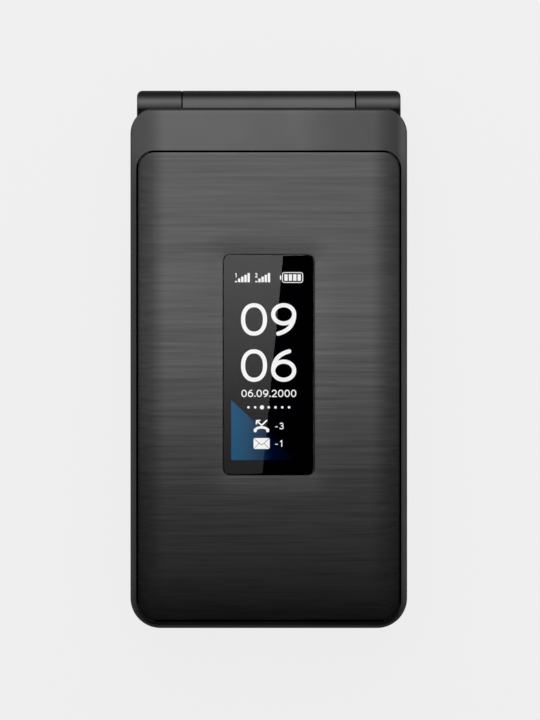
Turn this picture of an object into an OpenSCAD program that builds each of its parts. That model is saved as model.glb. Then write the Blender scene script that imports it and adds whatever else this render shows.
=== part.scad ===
// Clamshell mobile phone, closed, lying on its back: X across, +Y towards the hinge, +Z up
// through the lid. The origin is on the underside, in the middle of the outline.

/* [Phone] */
// Width of the closed phone, across the lid
phone_w = 57; // [55.5:0.5:59]
// Length of the closed phone, from the lid's free end to the back of the hinge barrel
phone_l = 110.8; // [109:0.2:114]
// Air between the keypad deck and the closed lid
lid_gap = 0.4; // [0.3:0.05:0.6]

/* [Lid shell] */
// Corner radius of the lid at the hinge end
lid_top_r = 5.3; // [4.5:0.1:6]
// Corner radius of the lid at its free end
lid_bottom_r = 6.2; // [5:0.1:7]
// Radius of the rounded edge round the lid's face
lid_edge_r = 1.2; // [0.8:0.1:1.2]
// Side wall of the lid cover
lid_wall = 1.5; // [1.2:0.1:1.8]
// Roof of the lid cover, under the inlaid panel
lid_roof_t = 0.8; // [0.7:0.1:1.2]
// Width of the curved strip along each long side of the lid
crown_w = 6.5; // [5.5:0.1:7]
// How far the lid's face falls across that strip
crown_drop = 1.6; // [1:0.1:1.8]
// Length over which the lid's face falls at its free end
end_l = 6.5; // [5.5:0.1:7]
// How far the lid's face falls at its free end
end_drop = 0.6; // [0.3:0.1:0.7]

/* [Brushed panel] */
// From the side of the lid to the middle of the groove round the panel
panel_margin = 1.4; // [1.22:0.02:1.8]
// From the lid's hinge-side edge to the middle of the groove
panel_top = 9; // [7.5:0.02:11]
// Corner radius of the panel at the hinge end
panel_top_r = 3.6; // [3:0.1:4.5]
// Corner radius of the panel at the free end
panel_bottom_r = 4.5; // [3.5:0.1:5.5]
// Thickness of the panel
panel_t = 1; // [0.9:0.1:1.2]
// Width of the groove round the panel
groove_w = 0.4; // [0.3:0.05:0.6]

/* [Outer display] */
// Width of the outer lens
lens_w = 18.8; // [17:0.1:21]
// Length of the outer lens
lens_l = 45.4; // [42:0.1:48]
// Corner radius of the outer lens
lens_r = 1.5; // [1:0.1:2.5]
// Height of the lens above the middle of the phone, along Y
lens_y = -1.2; // [-4:0.1:4]
// How far the lens lies under the panel's face
lens_sink = 0.05; // [0:0.05:0.15]
// Ledge of the cover that carries the lens, all round
lens_ledge = 1.5; // [1.2:0.1:2]
// Thickness of the outer display
outer_display_t = 2.1; // [1.9:0.1:2.4]

/* [Main display] */
// From the side of the lid to the main lens
main_lens_side = 3.3; // [3:0.1:4.5]
// From the lid's free end to the main lens
main_lens_low = 13.4; // [12.8:0.1:16]
// From the main lens to the lid's wall at the hinge
main_lens_high = 10.3; // [9:0.1:14]
// Thickness of the main lens
main_lens_t = 0.8; // [0.7:0.1:1.1]
// Margin of the frame round the display's window, under the main lens
window_margin = 2.6; // [2:0.1:4]
// Ledge of the inner frame under the main lens
frame_ledge_t = 0.7; // [0.6:0.1:1]
// Thickness of the main display
main_display_t = 1.9; // [1.7:0.1:2.2]
// Thickness of the lid's circuit board
lid_board_t = 0.6; // [0.5:0.1:0.8]

/* [Earpiece] */
// From the lid's free end to the middle of the earpiece
earpiece_y = 7; // [6.6:0.1:7.6]
// Width of the earpiece slot
earpiece_w = 12; // [9:0.5:14]
// Length of the earpiece slot along Y
earpiece_l = 1.8; // [1.4:0.1:2.2]

/* [Hinge] */
// Radius of the hinge barrel and knuckles
barrel_r = 4.6; // [4.4:0.05:4.7]
// Length of the barrel in the middle, which belongs to the lid
barrel_l = 35.5; // [32:0.5:37]
// How far the barrel shows beyond the lid's edge
barrel_show = 3.66; // [3.4:0.02:4]
// From the side of the phone to the outer end of a knuckle
knuckle_inset = 1.3; // [1:0.1:1.8]
// Rounding of a knuckle's outer end
knuckle_round = 1.1; // [0.6:0.1:1.2]
// Seam between the barrel and each knuckle
hinge_seam = 0.3; // [0.25:0.05:0.4]
// Air round the barrel and the knuckles
hinge_gap = 0.4; // [0.3:0.05:0.5]
// Radius of the hinge unit and the bush
hinge_unit_r = 2.45; // [2.2:0.05:2.6]
// Radius of the hinge unit's nose
hinge_nose_r = 1.9; // [1.6:0.05:2]
// Running clearance on the radius of the hinge bearings
bearing_gap = 0.05; // [0.03:0.01:0.08]

/* [Base shell] */
// How much narrower the base is than the lid, on each side
base_inset = 0.3; // [0.2:0.05:0.5]
// Corner radius of the base at the bottom end
base_bottom_r = 6; // [5:0.1:6.5]
// Radius of the rounded edge round the back
base_edge_r = 1.3; // [1:0.1:1.3]
// Side wall of the base
base_wall = 1.5; // [1.3:0.1:1.8]
// How much the base narrows towards the hinge, on each side
base_taper = 1; // [0.8:0.1:1.2]
// Length over which the base narrows and its back rises
base_taper_l = 13; // [11:0.5:14]
// How far the back rises towards the hinge
base_rise = 1.2; // [0.8:0.1:1.5]
// How far the back rises along its long sides
back_crown = 0.8; // [0.5:0.1:0.9]
// Height of the seam between the front and the rear cover
base_split_z = 7.6; // [7.5:0.1:7.8]
// Depth of the recess that the keys lie in
keypad_recess = 0.4; // [0.35:0.05:0.5]
// Thickness of the deck in that recess
deck_t = 0.7; // [0.6:0.05:0.9]

/* [Keys] */
// From the side of the base to the keys
keypad_margin = 2.75; // [2.6:0.05:3.5]
// Length of a number key
number_key_l = 10.9; // [10:0.1:11]
// Distance between neighbouring key caps
key_web = 1; // [0.9:0.05:1.2]
// Distance from the navigation ring to the keys round it
nav_web = 1.4; // [1.3:0.05:1.6]
// Width of the navigation ring
nav_w = 25; // [23:0.1:26]
// Length of the navigation ring
nav_l = 25.4; // [24:0.1:26]
// Corner radius of the navigation ring
nav_r = 8; // [6:0.1:9]
// Width of the middle key
ok_w = 11.4; // [10:0.1:12]
// Length of the middle key
ok_l = 10.8; // [10:0.1:12]
// Travel of a key
key_travel = 0.25; // [0.2:0.05:0.3]
// Air round a key cap in its hole
key_clear = 0.15; // [0.12:0.01:0.2]
// How far a key's foot reaches under the deck
key_foot = 0.3; // [0.25:0.01:0.35]
// Rounding of a key cap's top edge
key_edge = 0.3; // [0.2:0.05:0.4]
// Length of the volume rocker
rocker_l = 15; // [12:0.5:16]
// Height of the volume rocker
rocker_h = 2.6; // [2.2:0.1:2.8]

/* [Boards] */
// Thickness of the main board
board_t = 0.8; // [0.8:0.1:1]
// Thickness of the dome sheet
dome_sheet_t = 0.2; // [0.15:0.05:0.25]
// Height of a dome
dome_h = 0.25; // [0.2:0.05:0.3]
// Radius of a dome
dome_r = 2; // [1.8:0.1:2.3]

/* [Battery] */
// Width of the battery
battery_w = 34; // [32:0.1:35]
// From the bottom end of the base to the battery
battery_low = 11.2; // [10.8:0.1:13]
// From the battery to the end of its cover
battery_high = 5.2; // [4.8:0.1:7]
// Thickness of the battery
battery_t = 4.4; // [4:0.1:4.8]
// Thickness of the battery cover's floor
cover_t = 1.1; // [1:0.1:1.3]
// Height of the seam between the battery cover and the rear cover
cover_split_z = 2.6; // [2.5:0.1:2.7]
// Roof of the battery bay
bay_roof_t = 0.6; // [0.5:0.1:0.8]

/* [Sockets] */
// Radius of the headset socket's bore
jack_bore_r = 1.8; // [1.75:0.01:1.85]
// Depth of the headset socket's bore
jack_depth = 14; // [12:0.5:14.5]
// Width of the charging socket
usb_w = 7.5; // [7:0.1:8]
// Height of the charging socket
usb_h = 2.6; // [2.4:0.1:2.7]
// Depth of the charging socket
usb_l = 5.4; // [5:0.1:6]

/* [Camera and loudspeaker] */
// Length of the room for the camera and the loudspeaker, behind the battery
room_l = 24.3; // [23.8:0.1:26]
// Radius of the camera's window
camera_r = 3; // [2.6:0.1:3.4]
// Side length of the camera module
camera_w = 7.4; // [7:0.1:8]
// Radius of the lamp beside the camera
lamp_r = 1.3; // [1.1:0.1:1.6]
// Width of the loudspeaker
speaker_w = 15; // [13:0.5:15]
// Length of the loudspeaker
speaker_l = 11; // [10:0.5:11]
// Holes of the loudspeaker's grille in one row
grille_holes = 7; // [5:1:8]
// Radius of a hole of the grille
grille_r = 0.5; // [0.4:0.05:0.55]

/* [Hidden] */

// Clearances and small sizes that several pieces share
touch = 0.05;            // between pieces of one body that lie on each other
fit = 0.15;              // round a piece that lies in a pocket
past = 1;                // how far a cut runs past the face that it opens
arc_steps = 6;           // straight runs in a corner of a shell
key_arc_steps = 4;       // straight runs in a corner of a key
least_r = 0.4;           // smallest corner of an outline that is drawn in
screw_r = 0.7;           // screws of both halves
screw_head_r = 1.5;
screw_head_t = 0.55;
boss_r = 2.1;
plug_t = 0.38;           // plugs over the lid's screws
lid_screw_l = 4;
lid_screw_depth = 3.5;   // of its hole in the cover
side_room = 4.6;         // width of the lower room along the lid's sides
side_step = 1.4;         // how much lower that room is
lip_t = 0.8;             // upstand of the inner frame inside the cover

// Heights in the base, from the back up
battery_z = cover_t + 0.2;
bay_roof_z = battery_z + battery_t + 0.2;
board_z = bay_roof_z + bay_roof_t + 0.1;
dome_z = board_z + board_t;
dome_top_z = dome_z + dome_sheet_t + dome_h;
nub_z = dome_top_z + touch + key_travel;
foot_z = nub_z + 0.2;
foot_t = 0.4;
deck_under_z = foot_z + foot_t + 0.15;
keypad_z = deck_under_z + deck_t;
base_t = keypad_z + keypad_recess;
key_top_z = base_t - touch;

// Heights in the lid, from its inner face up
lid_z = base_t + lid_gap;
main_lens_sink = 0.15;
frame_t = main_lens_sink + main_lens_t + frame_ledge_t;
split_z = lid_z + frame_t;
display_z = split_z + touch;
lid_board_z = display_z + main_display_t + 0.1;
outer_display_z = lid_board_z + lid_board_t + 0.1;
roof_z = outer_display_z + outer_display_t + 0.1;
panel_z = roof_z + lid_roof_t;
top_z = panel_z + panel_t;

// Hinge
axis_y = phone_l / 2 - barrel_r;
axis_z = base_t + lid_gap / 2;
pocket_r = barrel_r + hinge_gap;
knuckle_x = barrel_l / 2 + hinge_seam;
knuckle_end_x = phone_w / 2 - knuckle_inset;
nose_end = 3.2;          // from the nose to the knuckle's outer end
neck_l = 1;              // how far the necks of the hinge reach into the shells
nose_l = knuckle_end_x - barrel_l / 2 - nose_end;
bush_l = 18;
bush_wall = 0.75;
seam_depth = 1;          // from the barrel's face down to the collars, which close the seams
spigot_step = 0.3;       // from a collar down to its spigot, which turns in a knuckle
collar_r = barrel_r - seam_depth;
collar_gap = 0.06;       // from a collar to its knuckle
spigot_r = collar_r - spigot_step;
spigot_l = 0.8;
spigot_gap = 0.08;       // round a spigot and before its end

// Plan of the two halves
lid_y0 = -phone_l / 2;
lid_y1 = phone_l / 2 - barrel_show;
shoulder = 1;            // from the end of the base to the hinge axis
hinge_wall = 0.8;        // between the hinge and the room in the base
base_w = phone_w - 2 * base_inset;
base_y0 = lid_y0 + base_inset;
base_y1 = axis_y - shoulder;
lid_room_y1 = axis_y - pocket_r - lid_wall;
base_room_y1 = axis_y - pocket_r - hinge_wall;

// Plan of the panel and the displays
panel_extra = 0.04;      // how much wider the rim is at the free end
panel_w = phone_w - 2 * panel_margin;
panel_y0 = lid_y0 + panel_margin + panel_extra;
panel_y1 = lid_y1 - panel_top;
lens_window_w = lens_w - 2 * lens_ledge;
lens_window_l = lens_l - 2 * lens_ledge;
main_lens_w = phone_w - 2 * main_lens_side;
main_lens_l = lid_room_y1 - main_lens_high - lid_y0 - main_lens_low;
main_lens_y = lid_y0 + main_lens_low + main_lens_l / 2;
window_l = main_lens_l - 5 * window_margin;
window_w = main_lens_w - 2 * window_margin;
display_rim = 1.8;       // of the display module, round the window
display_end = 2.5;
main_display_w = window_w + 2 * display_rim;
main_display_l = window_l + 2 * display_end;
ear_y = lid_y0 + earpiece_y;
receiver_w = earpiece_w + 3;
receiver_l = earpiece_l + 4.2;
receiver_t = 1.8;
receiver_rim = 2;        // of the receiver round its raised middle
magnet = [4.5, 3.2, 1.6];
magnet_gap = 5;          // from the receiver to the magnet
lid_board_side = 8;      // from the side of the lid to its board
lid_screw_side = 5.8;
lid_screw_low = 5.2;
lid_screw_high = 2.8;
lid_screws_at = [
    for (x = [-1, 1], y = [lid_y0 + lid_screw_low, lid_room_y1 - lid_screw_high])
        [x * (phone_w / 2 - lid_screw_side), y]
];
bumper_w = 2.7;
bumper_l = 1.3;
bumpers_at = [
    for (x = [-1, 1]) [x * (phone_w / 2 - 12), lid_y0 + 2.2],
    for (x = [-1, 1]) [x * (phone_w / 2 - 2.6), lid_room_y1 - 6]
];

// Plan of the keypad
block_w = base_w - 2 * keypad_margin;
number_key_w = (block_w - 2 * key_web) / 3;
number_pitch_x = number_key_w + key_web;
number_pitch_y = number_key_l + key_web;
keypad_low = 5.8;        // from the bottom end of the base to the keys
keypad_rim = 0.55;       // of the recess round the keys, at the sides
row_0_y = base_y0 + keypad_low + number_key_l / 2;
nav_y = row_0_y + 3 * number_pitch_y + number_key_l / 2 + nav_web + nav_l / 2;
side_key_w = (block_w - nav_w - 2 * nav_web) / 2;
side_key_l = (nav_l - key_web) / 2;
side_key_x = (block_w - side_key_w) / 2;
side_key_y = (side_key_l + key_web) / 2;
keypad_w = block_w + 2 * keypad_rim;
keypad_y0 = row_0_y - number_key_l / 2 - 0.9;
keypad_y1 = nav_y + nav_l / 2 + 1.2;
ring_dome_r = (nav_w + ok_w) / 4 + 0.1;
mic_at = [0, base_y0 + 3.2];
mic_r = 1.4;
mic_hole_r = 0.5;
nav_lift = 0.2;          // extra air over the ring's foot, for its tilt
ring_gap = 0.3;          // round the middle key and the ring
rocker_z = (cover_split_z + base_split_z) / 2;
rocker_wall = 2.4;
rocker_out = 0.25;

// Plan of the base's inside
room_end = 12.6;         // from the hinge axis to the deep room
room_rib = 2;            // between that room and the battery cover
room_gap = 1.2;          // between the pieces in the deep room
room_y1 = axis_y - room_end;
room_y0 = room_y1 - room_l;
room_z = cover_t + 0.3;
room_w = base_w - 2 * rocker_wall;
cover_y1 = room_y0 - room_rib;
battery_y0 = base_y0 + battery_low;
battery_l = cover_y1 - battery_high - battery_y0;
bay_gap = 0.25;          // round the battery
bay_end = 2.9;           // from the battery to the end of its bay, with the contacts
bay_w = battery_w + 2 * bay_gap;
bay_y0 = battery_y0 - bay_gap;
bay_y1 = battery_y0 + battery_l + bay_end;
tongue_w = 8;
tongue_l = 1.6;
tongue_t = 0.7;
tongues_at = [-16, 0, 16];
contacts_w = 12;
contact_w = 1.2;
contact_pitch = 3;
sim_w = 28;
sim_l = 17.6;
sim_y0 = bay_y0 + 8.2;
sim_slot = [9, 10];
sim_slot_x = 7;
antenna_x0 = usb_w / 2 + 3.25;
antenna_x1 = base_w / 2 - 9.2;
antenna_low = 2.4;
base_screws_at = [
    for (x = [-1, 1]) [x * (base_w / 2 - 4.1), base_y0 + 3.4],
    for (x = [-1, 1]) [x * (base_w / 2 - 5.2), room_y1 + 3.6]
];
base_screw_z = [cover_split_z + 0.4, cover_split_z + 0.4, 1.2, 1.2];
base_screw_end = 1.3;    // from the point of a screw to the face of the deck
rocker_y = room_y1 - 11.2;
rocker_foot = 0.7;       // how far the rocker's foot reaches behind the wall
jack_y = room_y1 - 8;
jack_z = room_z + 3.25;
jack_body = 6;
jack_wall = 0.75;        // of the jack's round nose
jack_sink = 0.1;
jack_face_x = base_w / 2 - jack_sink;
jack_inner_x = jack_face_x - jack_depth - 0.8;
usb_z = board_z - usb_h - touch;
usb_wall = 0.3;
usb_tongue_t = 0.6;
camera_side = 11.8;      // from the side of the room to the camera
camera_at = [-room_w / 2 + camera_side, room_y1 - 5.2];
camera_t = 3.2;
lamp_foot = 0.5;
lamp_at = [camera_at.x + camera_r + lamp_r + 3.3, camera_at.y];
grille_pitch = 1.7;
speaker_at = [1, room_y0 + speaker_l / 2 + 0.8];
speaker_t = 3;
speaker_step = 2;        // of its magnet, all round
can_t = 1.6;
can_l = 8;
motor_r = 2;
motor_l = 7;
motor_at = [-room_w / 2 + 5.8, room_y0 + 1.9];
back_crown_w = 6;        // width of the curved strip along each side of the back

// ---------------------------------------------------------------- outlines and lofts

// How far an arc of length l and end depth d has fallen after u
function arc_fall(u, l, d) =
    let (r = (l * l + d * d) / (2 * d), v = min(max(u, 0), l)) r - sqrt(r * r - v * v);

// How far a rounded edge of radius r lies under the face at a distance d from the side
function edge_fall(d, r) = d >= r ? 0 : r - sqrt(r * r - (r - d) * (r - d));

function arc(cx, cy, r, from, steps) =
    [for (i = [0 : steps]) let (a = from + 90 * i / steps) [cx + r * cos(a), cy + r * sin(a)]];

// Rounded outline from y0 to y1, drawn in by inset. It narrows by taper over the last taper_l.
function outline(w, y0, y1, r0, r1, inset = 0, taper = 0, taper_l = 1, steps = arc_steps) =
    let (
        lower = max(r0 - inset, least_r),
        upper = max(r1 - inset, least_r),
        foot = y1 - taper_l,
        tip = y1 - inset - upper,
        half = function (y) w / 2 - inset - taper * pow(max(0, (y - foot) / taper_l), 2),
        side = taper == 0 ? [] : [for (k = [0 : 3]) foot + (tip - foot) * k / 4]
    )
    concat(
        arc(half(y0) - lower, y0 + inset + lower, lower, -90, steps),
        [for (y = side) [half(y), y]],
        arc(half(tip) - upper, tip, upper, 0, steps),
        arc(upper - half(tip), tip, upper, 90, steps),
        [for (k = [len(side) - 1 : -1 : 0]) [-half(side[k]), side[k]]],
        arc(lower - half(y0), y0 + inset + lower, lower, 180, steps)
    );

function round_rect(w, l, r, steps = arc_steps) = outline(w, -l / 2, l / 2, r, r, 0, 0, 1, steps);

// Closed solid through rings of equally many points, from the lowest to the highest
module loft(rings) {
    n = len(rings[0]);
    last = (len(rings) - 1) * n;
    sides = [
        for (k = [0 : len(rings) - 2], i = [0 : n - 1])
            let (a = k * n + i, b = k * n + (i + 1) % n)
            each [[a, a + n, b + n], [a, b + n, b]]
    ];
    polyhedron(
        [for (ring = rings) each ring],
        concat([[for (i = [0 : n - 1]) i]], sides, [[for (i = [n - 1 : -1 : 0]) last + i]])
    );
}

function flat_ring(points, z) = [for (p = points) [p.x, p.y, z]];

module prism(points, z0, z1) {
    translate([0, 0, z0]) linear_extrude(z1 - z0) polygon(points);
}

// Plate with a rounded outline and a softened upper edge
module soft_plate(w, l, r, z0, z1, edge, steps = arc_steps) {
    loft([
        flat_ring(round_rect(w, l, r, steps), z0),
        flat_ring(round_rect(w, l, r, steps), z1 - edge),
        flat_ring(round_rect(w - 0.6 * edge, l - 0.6 * edge, r - 0.3 * edge, steps), z1 - 0.3 * edge),
        flat_ring(round_rect(w - 2 * edge, l - 2 * edge, max(r - edge, least_r), steps), z1)
    ]);
}

module block(x0, x1, y0, y1, z0, z1) {
    translate([x0, y0, z0]) cube([x1 - x0, y1 - y0, z1 - z0]);
}

// Cylinder along X, on the hinge axis
module hinge_cylinder(x0, x1, r) {
    translate([x0, axis_y, axis_z]) rotate([0, 90, 0]) cylinder(h = x1 - x0, r = r, $fn = 72);
}

module both_sides() {
    children();
    mirror([1, 0, 0]) children();
}

// ---------------------------------------------------------------- lid

function lid_outline(inset) =
    outline(phone_w, lid_y0, lid_y1, lid_bottom_r, lid_top_r, inset);

function crown_fall(x) = arc_fall(abs(x) - (phone_w / 2 - crown_w), crown_w, crown_drop);
function face_fall(x, y) = crown_fall(x) + arc_fall(lid_y0 + end_l - y, end_l, end_drop);

function lid_ring(inset) = [
    for (p = lid_outline(inset)) [p.x, p.y, top_z - face_fall(p.x, p.y) - edge_fall(inset, lid_edge_r)]
];

// The lid's outer form, from the seam up
module lid_form() {
    edge = [for (a = [0 : 30 : 90]) lid_edge_r * (1 - cos(a))];
    face = [for (k = [1 : 4]) lid_edge_r + (crown_w + 0.1 - lid_edge_r) * k / 4];
    loft(concat(
        [flat_ring(lid_outline(0), split_z + touch)],
        [for (inset = edge) lid_ring(inset)],
        [for (inset = face) lid_ring(inset)]
    ));
}

function panel_outline(grow) = outline(
    panel_w + 2 * grow, panel_y0 - grow, panel_y1 + grow, panel_bottom_r + grow, panel_top_r + grow
);

function panel_inner(grow, inset) = outline(
    panel_w + 2 * grow, panel_y0 - grow, panel_y1 + grow, panel_bottom_r + grow, panel_top_r + grow,
    inset
);

// Insets of the rings across the panel's curved sides
function panel_steps() = [for (k = [0 : 4]) (crown_w + 0.1 - panel_margin) * k / 4];

// The panel's underside follows the crown of the lid
function panel_floor_rings(grow, lift) = [
    for (k = [4 : -1 : 0])
        [for (p = panel_inner(grow, panel_steps()[k])) [p.x, p.y, panel_z + lift - crown_fall(p.x)]]
];

module panel_pocket() {
    grow = groove_w / 2;
    loft(concat(panel_floor_rings(grow, 0), [flat_ring(panel_outline(grow), top_z + past)]));
}

module lens_hole(grow) {
    translate([0, lens_y, 0]) prism(round_rect(lens_w + 2 * grow, lens_l + 2 * grow, lens_r + grow),
        panel_z - past, top_z + past);
}

module lid_front_cover() {
    color("#2b2b2c") difference() {
        union() {
            difference() {
                lid_form();
                // Room behind the walls, lower along the curved sides
                prism(outline(phone_w, lid_y0, lid_room_y1 + lid_wall, lid_bottom_r, 2, lid_wall),
                    split_z - past, roof_z - side_step);
                prism(outline(phone_w, lid_y0, lid_room_y1 + side_room, lid_bottom_r, 2, side_room),
                    split_z - past, roof_z);
            }
            for (at = lid_screws_at) translate([at.x, at.y, split_z + touch])
                cylinder(h = roof_z - split_z, r = boss_r, $fn = 32);
        }
        panel_pocket();
        translate([0, lens_y, 0])
            prism(round_rect(lens_window_w, lens_window_l, lens_r), roof_z - past, panel_z + past);
        hinge_cylinder(-phone_w, phone_w, pocket_r);
        for (at = lid_screws_at) translate([at.x, at.y, split_z - past])
            cylinder(h = past + lid_screw_depth, r = screw_r, $fn = 24);
    }
}

module lid_panel() {
    grow = -groove_w / 2;
    steps = panel_steps();
    color("#4a4a4b") difference() {
        loft(concat(
            panel_floor_rings(grow, touch),
            [for (inset = steps)
                [for (p = panel_inner(grow, inset)) [p.x, p.y, top_z - face_fall(p.x, p.y)]]]
        ));
        lens_hole(0.08);
    }
}

module outer_lens() {
    color("#101418") translate([0, lens_y, 0])
        soft_plate(lens_w, lens_l, lens_r, panel_z, top_z - lens_sink, 0.15);
}

module outer_display() {
    color("#1b2530") translate([0, lens_y, 0]) union() {
        prism(round_rect(lens_window_w + 2.4, lens_window_l + 2.4, 1),
            outer_display_z, outer_display_z + outer_display_t * 0.7);
        prism(round_rect(lens_window_w + 1.2, lens_window_l + 1.2, 0.8),
            outer_display_z + outer_display_t * 0.6, outer_display_z + outer_display_t);
    }
}

module lid_inner_frame() {
    edge = 0.6;
    color("#232324") difference() {
        union() {
            difference() {
                loft([
                    flat_ring(lid_outline(edge), lid_z),
                    flat_ring(lid_outline(0.3 * edge), lid_z + 0.3 * edge),
                    flat_ring(lid_outline(0), lid_z + edge),
                    flat_ring(lid_outline(0), split_z)
                ]);
                hinge_cylinder(-phone_w, phone_w, pocket_r);
            }
            // Barrel in the middle, on the neck that leaves the frame
            hinge_cylinder(-barrel_l / 2, barrel_l / 2, barrel_r);
            hinge_cylinder(-knuckle_x + collar_gap, knuckle_x - collar_gap, collar_r);
            hinge_cylinder(-barrel_l / 2 - spigot_l, barrel_l / 2 + spigot_l, spigot_r);
            block(-barrel_l / 2, barrel_l / 2, axis_y - pocket_r - neck_l, axis_y - barrel_r / 2,
                lid_z, split_z);
            // Upstand that locates the cover
            difference() {
                prism(outline(phone_w, lid_y0, lid_room_y1 + lid_wall, lid_bottom_r, 2,
                    lid_wall + fit), split_z - 0.3, split_z + 0.9);
                prism(outline(phone_w, lid_y0, lid_room_y1 + lid_wall, lid_bottom_r, 2,
                    lid_wall + fit + lip_t), split_z - 0.4, split_z + past);
                for (at = lid_screws_at) translate([at.x, at.y, split_z])
                    cylinder(h = past, r = boss_r + 0.2, $fn = 32);
            }
        }
        // Recess of the main lens and the window behind it
        translate([0, main_lens_y, 0]) {
            prism(round_rect(main_lens_w + 2 * fit, main_lens_l + 2 * fit, 2.5),
                lid_z - past, lid_z + main_lens_sink + main_lens_t);
            prism(round_rect(window_w, window_l, 1), lid_z, split_z + past);
        }
        // Earpiece: recess of the mesh and the slot behind it
        translate([0, ear_y, 0]) {
            prism(round_rect(earpiece_w, earpiece_l, earpiece_l / 2 - 0.1), lid_z - past, lid_z + 0.6);
            prism(round_rect(earpiece_w - 1.2, earpiece_l - 0.8, 0.3), lid_z, split_z + past);
        }
        // Bores of the barrel and of the screws
        hinge_cylinder(-barrel_l, barrel_l, hinge_unit_r + touch / 2);
        for (at = lid_screws_at) translate([at.x, at.y, lid_z - past]) {
            cylinder(h = past + 1, r = screw_head_r + 0.2, $fn = 32);
            cylinder(h = past + frame_t + past, r = screw_r + 0.15, $fn = 24);
        }
        for (at = bumpers_at) translate([at.x, at.y, 0])
            prism(round_rect(bumper_w + 2 * fit, bumper_l + 2 * fit, 0.5), lid_z - past, lid_z + 0.4);
    }
}

module lid_bumpers() {
    color("#161616") for (at = bumpers_at) translate([at.x, at.y, 0])
        prism(round_rect(bumper_w, bumper_l, 0.4), base_t + touch, lid_z + 0.35);
}

module main_lens() {
    color("#0b0d10") translate([0, main_lens_y, 0])
        prism(round_rect(main_lens_w, main_lens_l, 2.4),
            lid_z + main_lens_sink, lid_z + main_lens_sink + main_lens_t);
}

module main_display() {
    color("#20262e") translate([0, main_lens_y, 0]) union() {
        prism(round_rect(main_display_w, main_display_l, 0.8),
            display_z, display_z + main_display_t);
        prism(round_rect(window_w - 0.4, window_l - 0.4, 0.8),
            split_z - frame_ledge_t + 0.1, display_z + 0.1);
    }
}

module earpiece_mesh() {
    color("#5a5c5e") translate([0, ear_y, 0])
        prism(round_rect(earpiece_w - 0.2, earpiece_l - 0.2, earpiece_l / 2 - 0.2),
            lid_z + 0.3, lid_z + 0.55);
}

module earpiece_speaker() {
    color("#8a8a88") translate([0, ear_y, 0]) union() {
        prism(round_rect(receiver_w, receiver_l, receiver_l / 2 - 0.1), display_z, display_z + receiver_t);
        prism(round_rect(receiver_w - 2 * receiver_rim, receiver_l - receiver_rim,
            receiver_l / 2 - receiver_rim / 2 - 0.1),
            display_z + receiver_t - 0.1, display_z + receiver_t + 0.6);
    }
}

module lid_board() {
    board_y0 = ear_y + receiver_l / 2 + 0.6;
    color("#1d5a38") difference() {
        prism(outline(phone_w - 2 * lid_board_side, board_y0, lid_room_y1 - 0.8, 1.5, 1.5),
            lid_board_z, lid_board_z + lid_board_t);
        for (at = lid_screws_at) translate([at.x, at.y, lid_board_z - past])
            cylinder(h = lid_board_t + 2 * past, r = boss_r + 0.3, $fn = 32);
    }
}

// Screws that hold the two halves of the lid together, put in from the inner face
module lid_screws() {
    color("#9a9a9a") for (at = lid_screws_at) translate([at.x, at.y, lid_z]) {
        translate([0, 0, plug_t + touch]) cylinder(h = screw_head_t, r = screw_head_r, $fn = 32);
        translate([0, 0, plug_t + 0.2]) cylinder(h = lid_screw_l, r = screw_r - touch, $fn = 24);
    }
}

module screw_plugs() {
    color("#1c1c1c") for (at = lid_screws_at) translate([at.x, at.y, lid_z + 0.03])
        cylinder(h = plug_t, r = screw_head_r + 0.12, $fn = 32);
}

// Magnet that tells the base that the lid is shut
module lid_magnet() {
    color("#b8b8b8") translate([receiver_w / 2 + magnet_gap, ear_y - magnet.y / 2, display_z])
        cube(magnet);
}

// Cam and spring unit in the barrel, with its nose in the knuckle on the left
module hinge_unit() {
    color("#a8a8a6") union() {
        hinge_cylinder(-barrel_l / 2, -1.5, hinge_unit_r);
        hinge_cylinder(-barrel_l / 2 - nose_l, -barrel_l / 2 + 1, hinge_nose_r);
    }
}

// Hollow bush in the barrel and in the knuckle on the right, which the flex runs through
module hinge_bush() {
    x0 = barrel_l / 2 + nose_l - bush_l;
    color("#4a4a4a") difference() {
        hinge_cylinder(x0, barrel_l / 2 + nose_l, hinge_unit_r);
        hinge_cylinder(x0 - past, barrel_l / 2 + nose_l + past, hinge_unit_r - bush_wall);
    }
}

module hinge_flex() {
    color("#b5651d")
        hinge_cylinder(0.5, barrel_l / 2 + nose_l - 0.5, hinge_unit_r - bush_wall - 0.1);
}

// ---------------------------------------------------------------- base

function base_outline(inset) = outline(
    base_w, base_y0, base_y1, base_bottom_r, 1.6, inset, base_taper, base_taper_l
);

function back_rise(x, y) =
    arc_fall(abs(x) - (base_w / 2 - back_crown_w - base_taper), back_crown_w + base_taper, back_crown)
    + arc_fall(y - (base_y1 - base_taper_l), base_taper_l, base_rise);

function back_ring(inset) = [
    for (p = base_outline(inset)) [p.x, p.y, back_rise(p.x, p.y) + edge_fall(inset, base_edge_r)]
];

// Back of the base with its rounded edge, up to the seam under the front cover
module back_form() {
    flat = back_crown_w + base_taper + 0.1;
    edge = [for (a = [90 : -30 : 0]) base_edge_r * (1 - cos(a))];
    // The innermost ring lies in the flat middle of the back
    middle = [for (p = base_outline(flat)) [p.x, min(p.y, base_y1 - base_taper_l), 0]];
    loft(concat(
        [middle],
        [for (k = [3 : -1 : 1]) back_ring(base_edge_r + (flat - base_edge_r) * k / 4)],
        [for (inset = edge) back_ring(inset)],
        [flat_ring(base_outline(0), base_split_z - touch)]
    ));
}

// Zone of the battery cover within the back
module cover_zone(gap) {
    block(-phone_w, phone_w, base_y0 - past, cover_y1 + gap, -past, cover_split_z + gap);
}

module tongues(gap) {
    for (x = tongues_at)
        block(x - tongue_w / 2 - gap, x + tongue_w / 2 + gap, cover_y1 - past,
            cover_y1 + tongue_l + gap, cover_t + tongue_t / 2 - gap, cover_t + 1.5 * tongue_t + gap);
}

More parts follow.
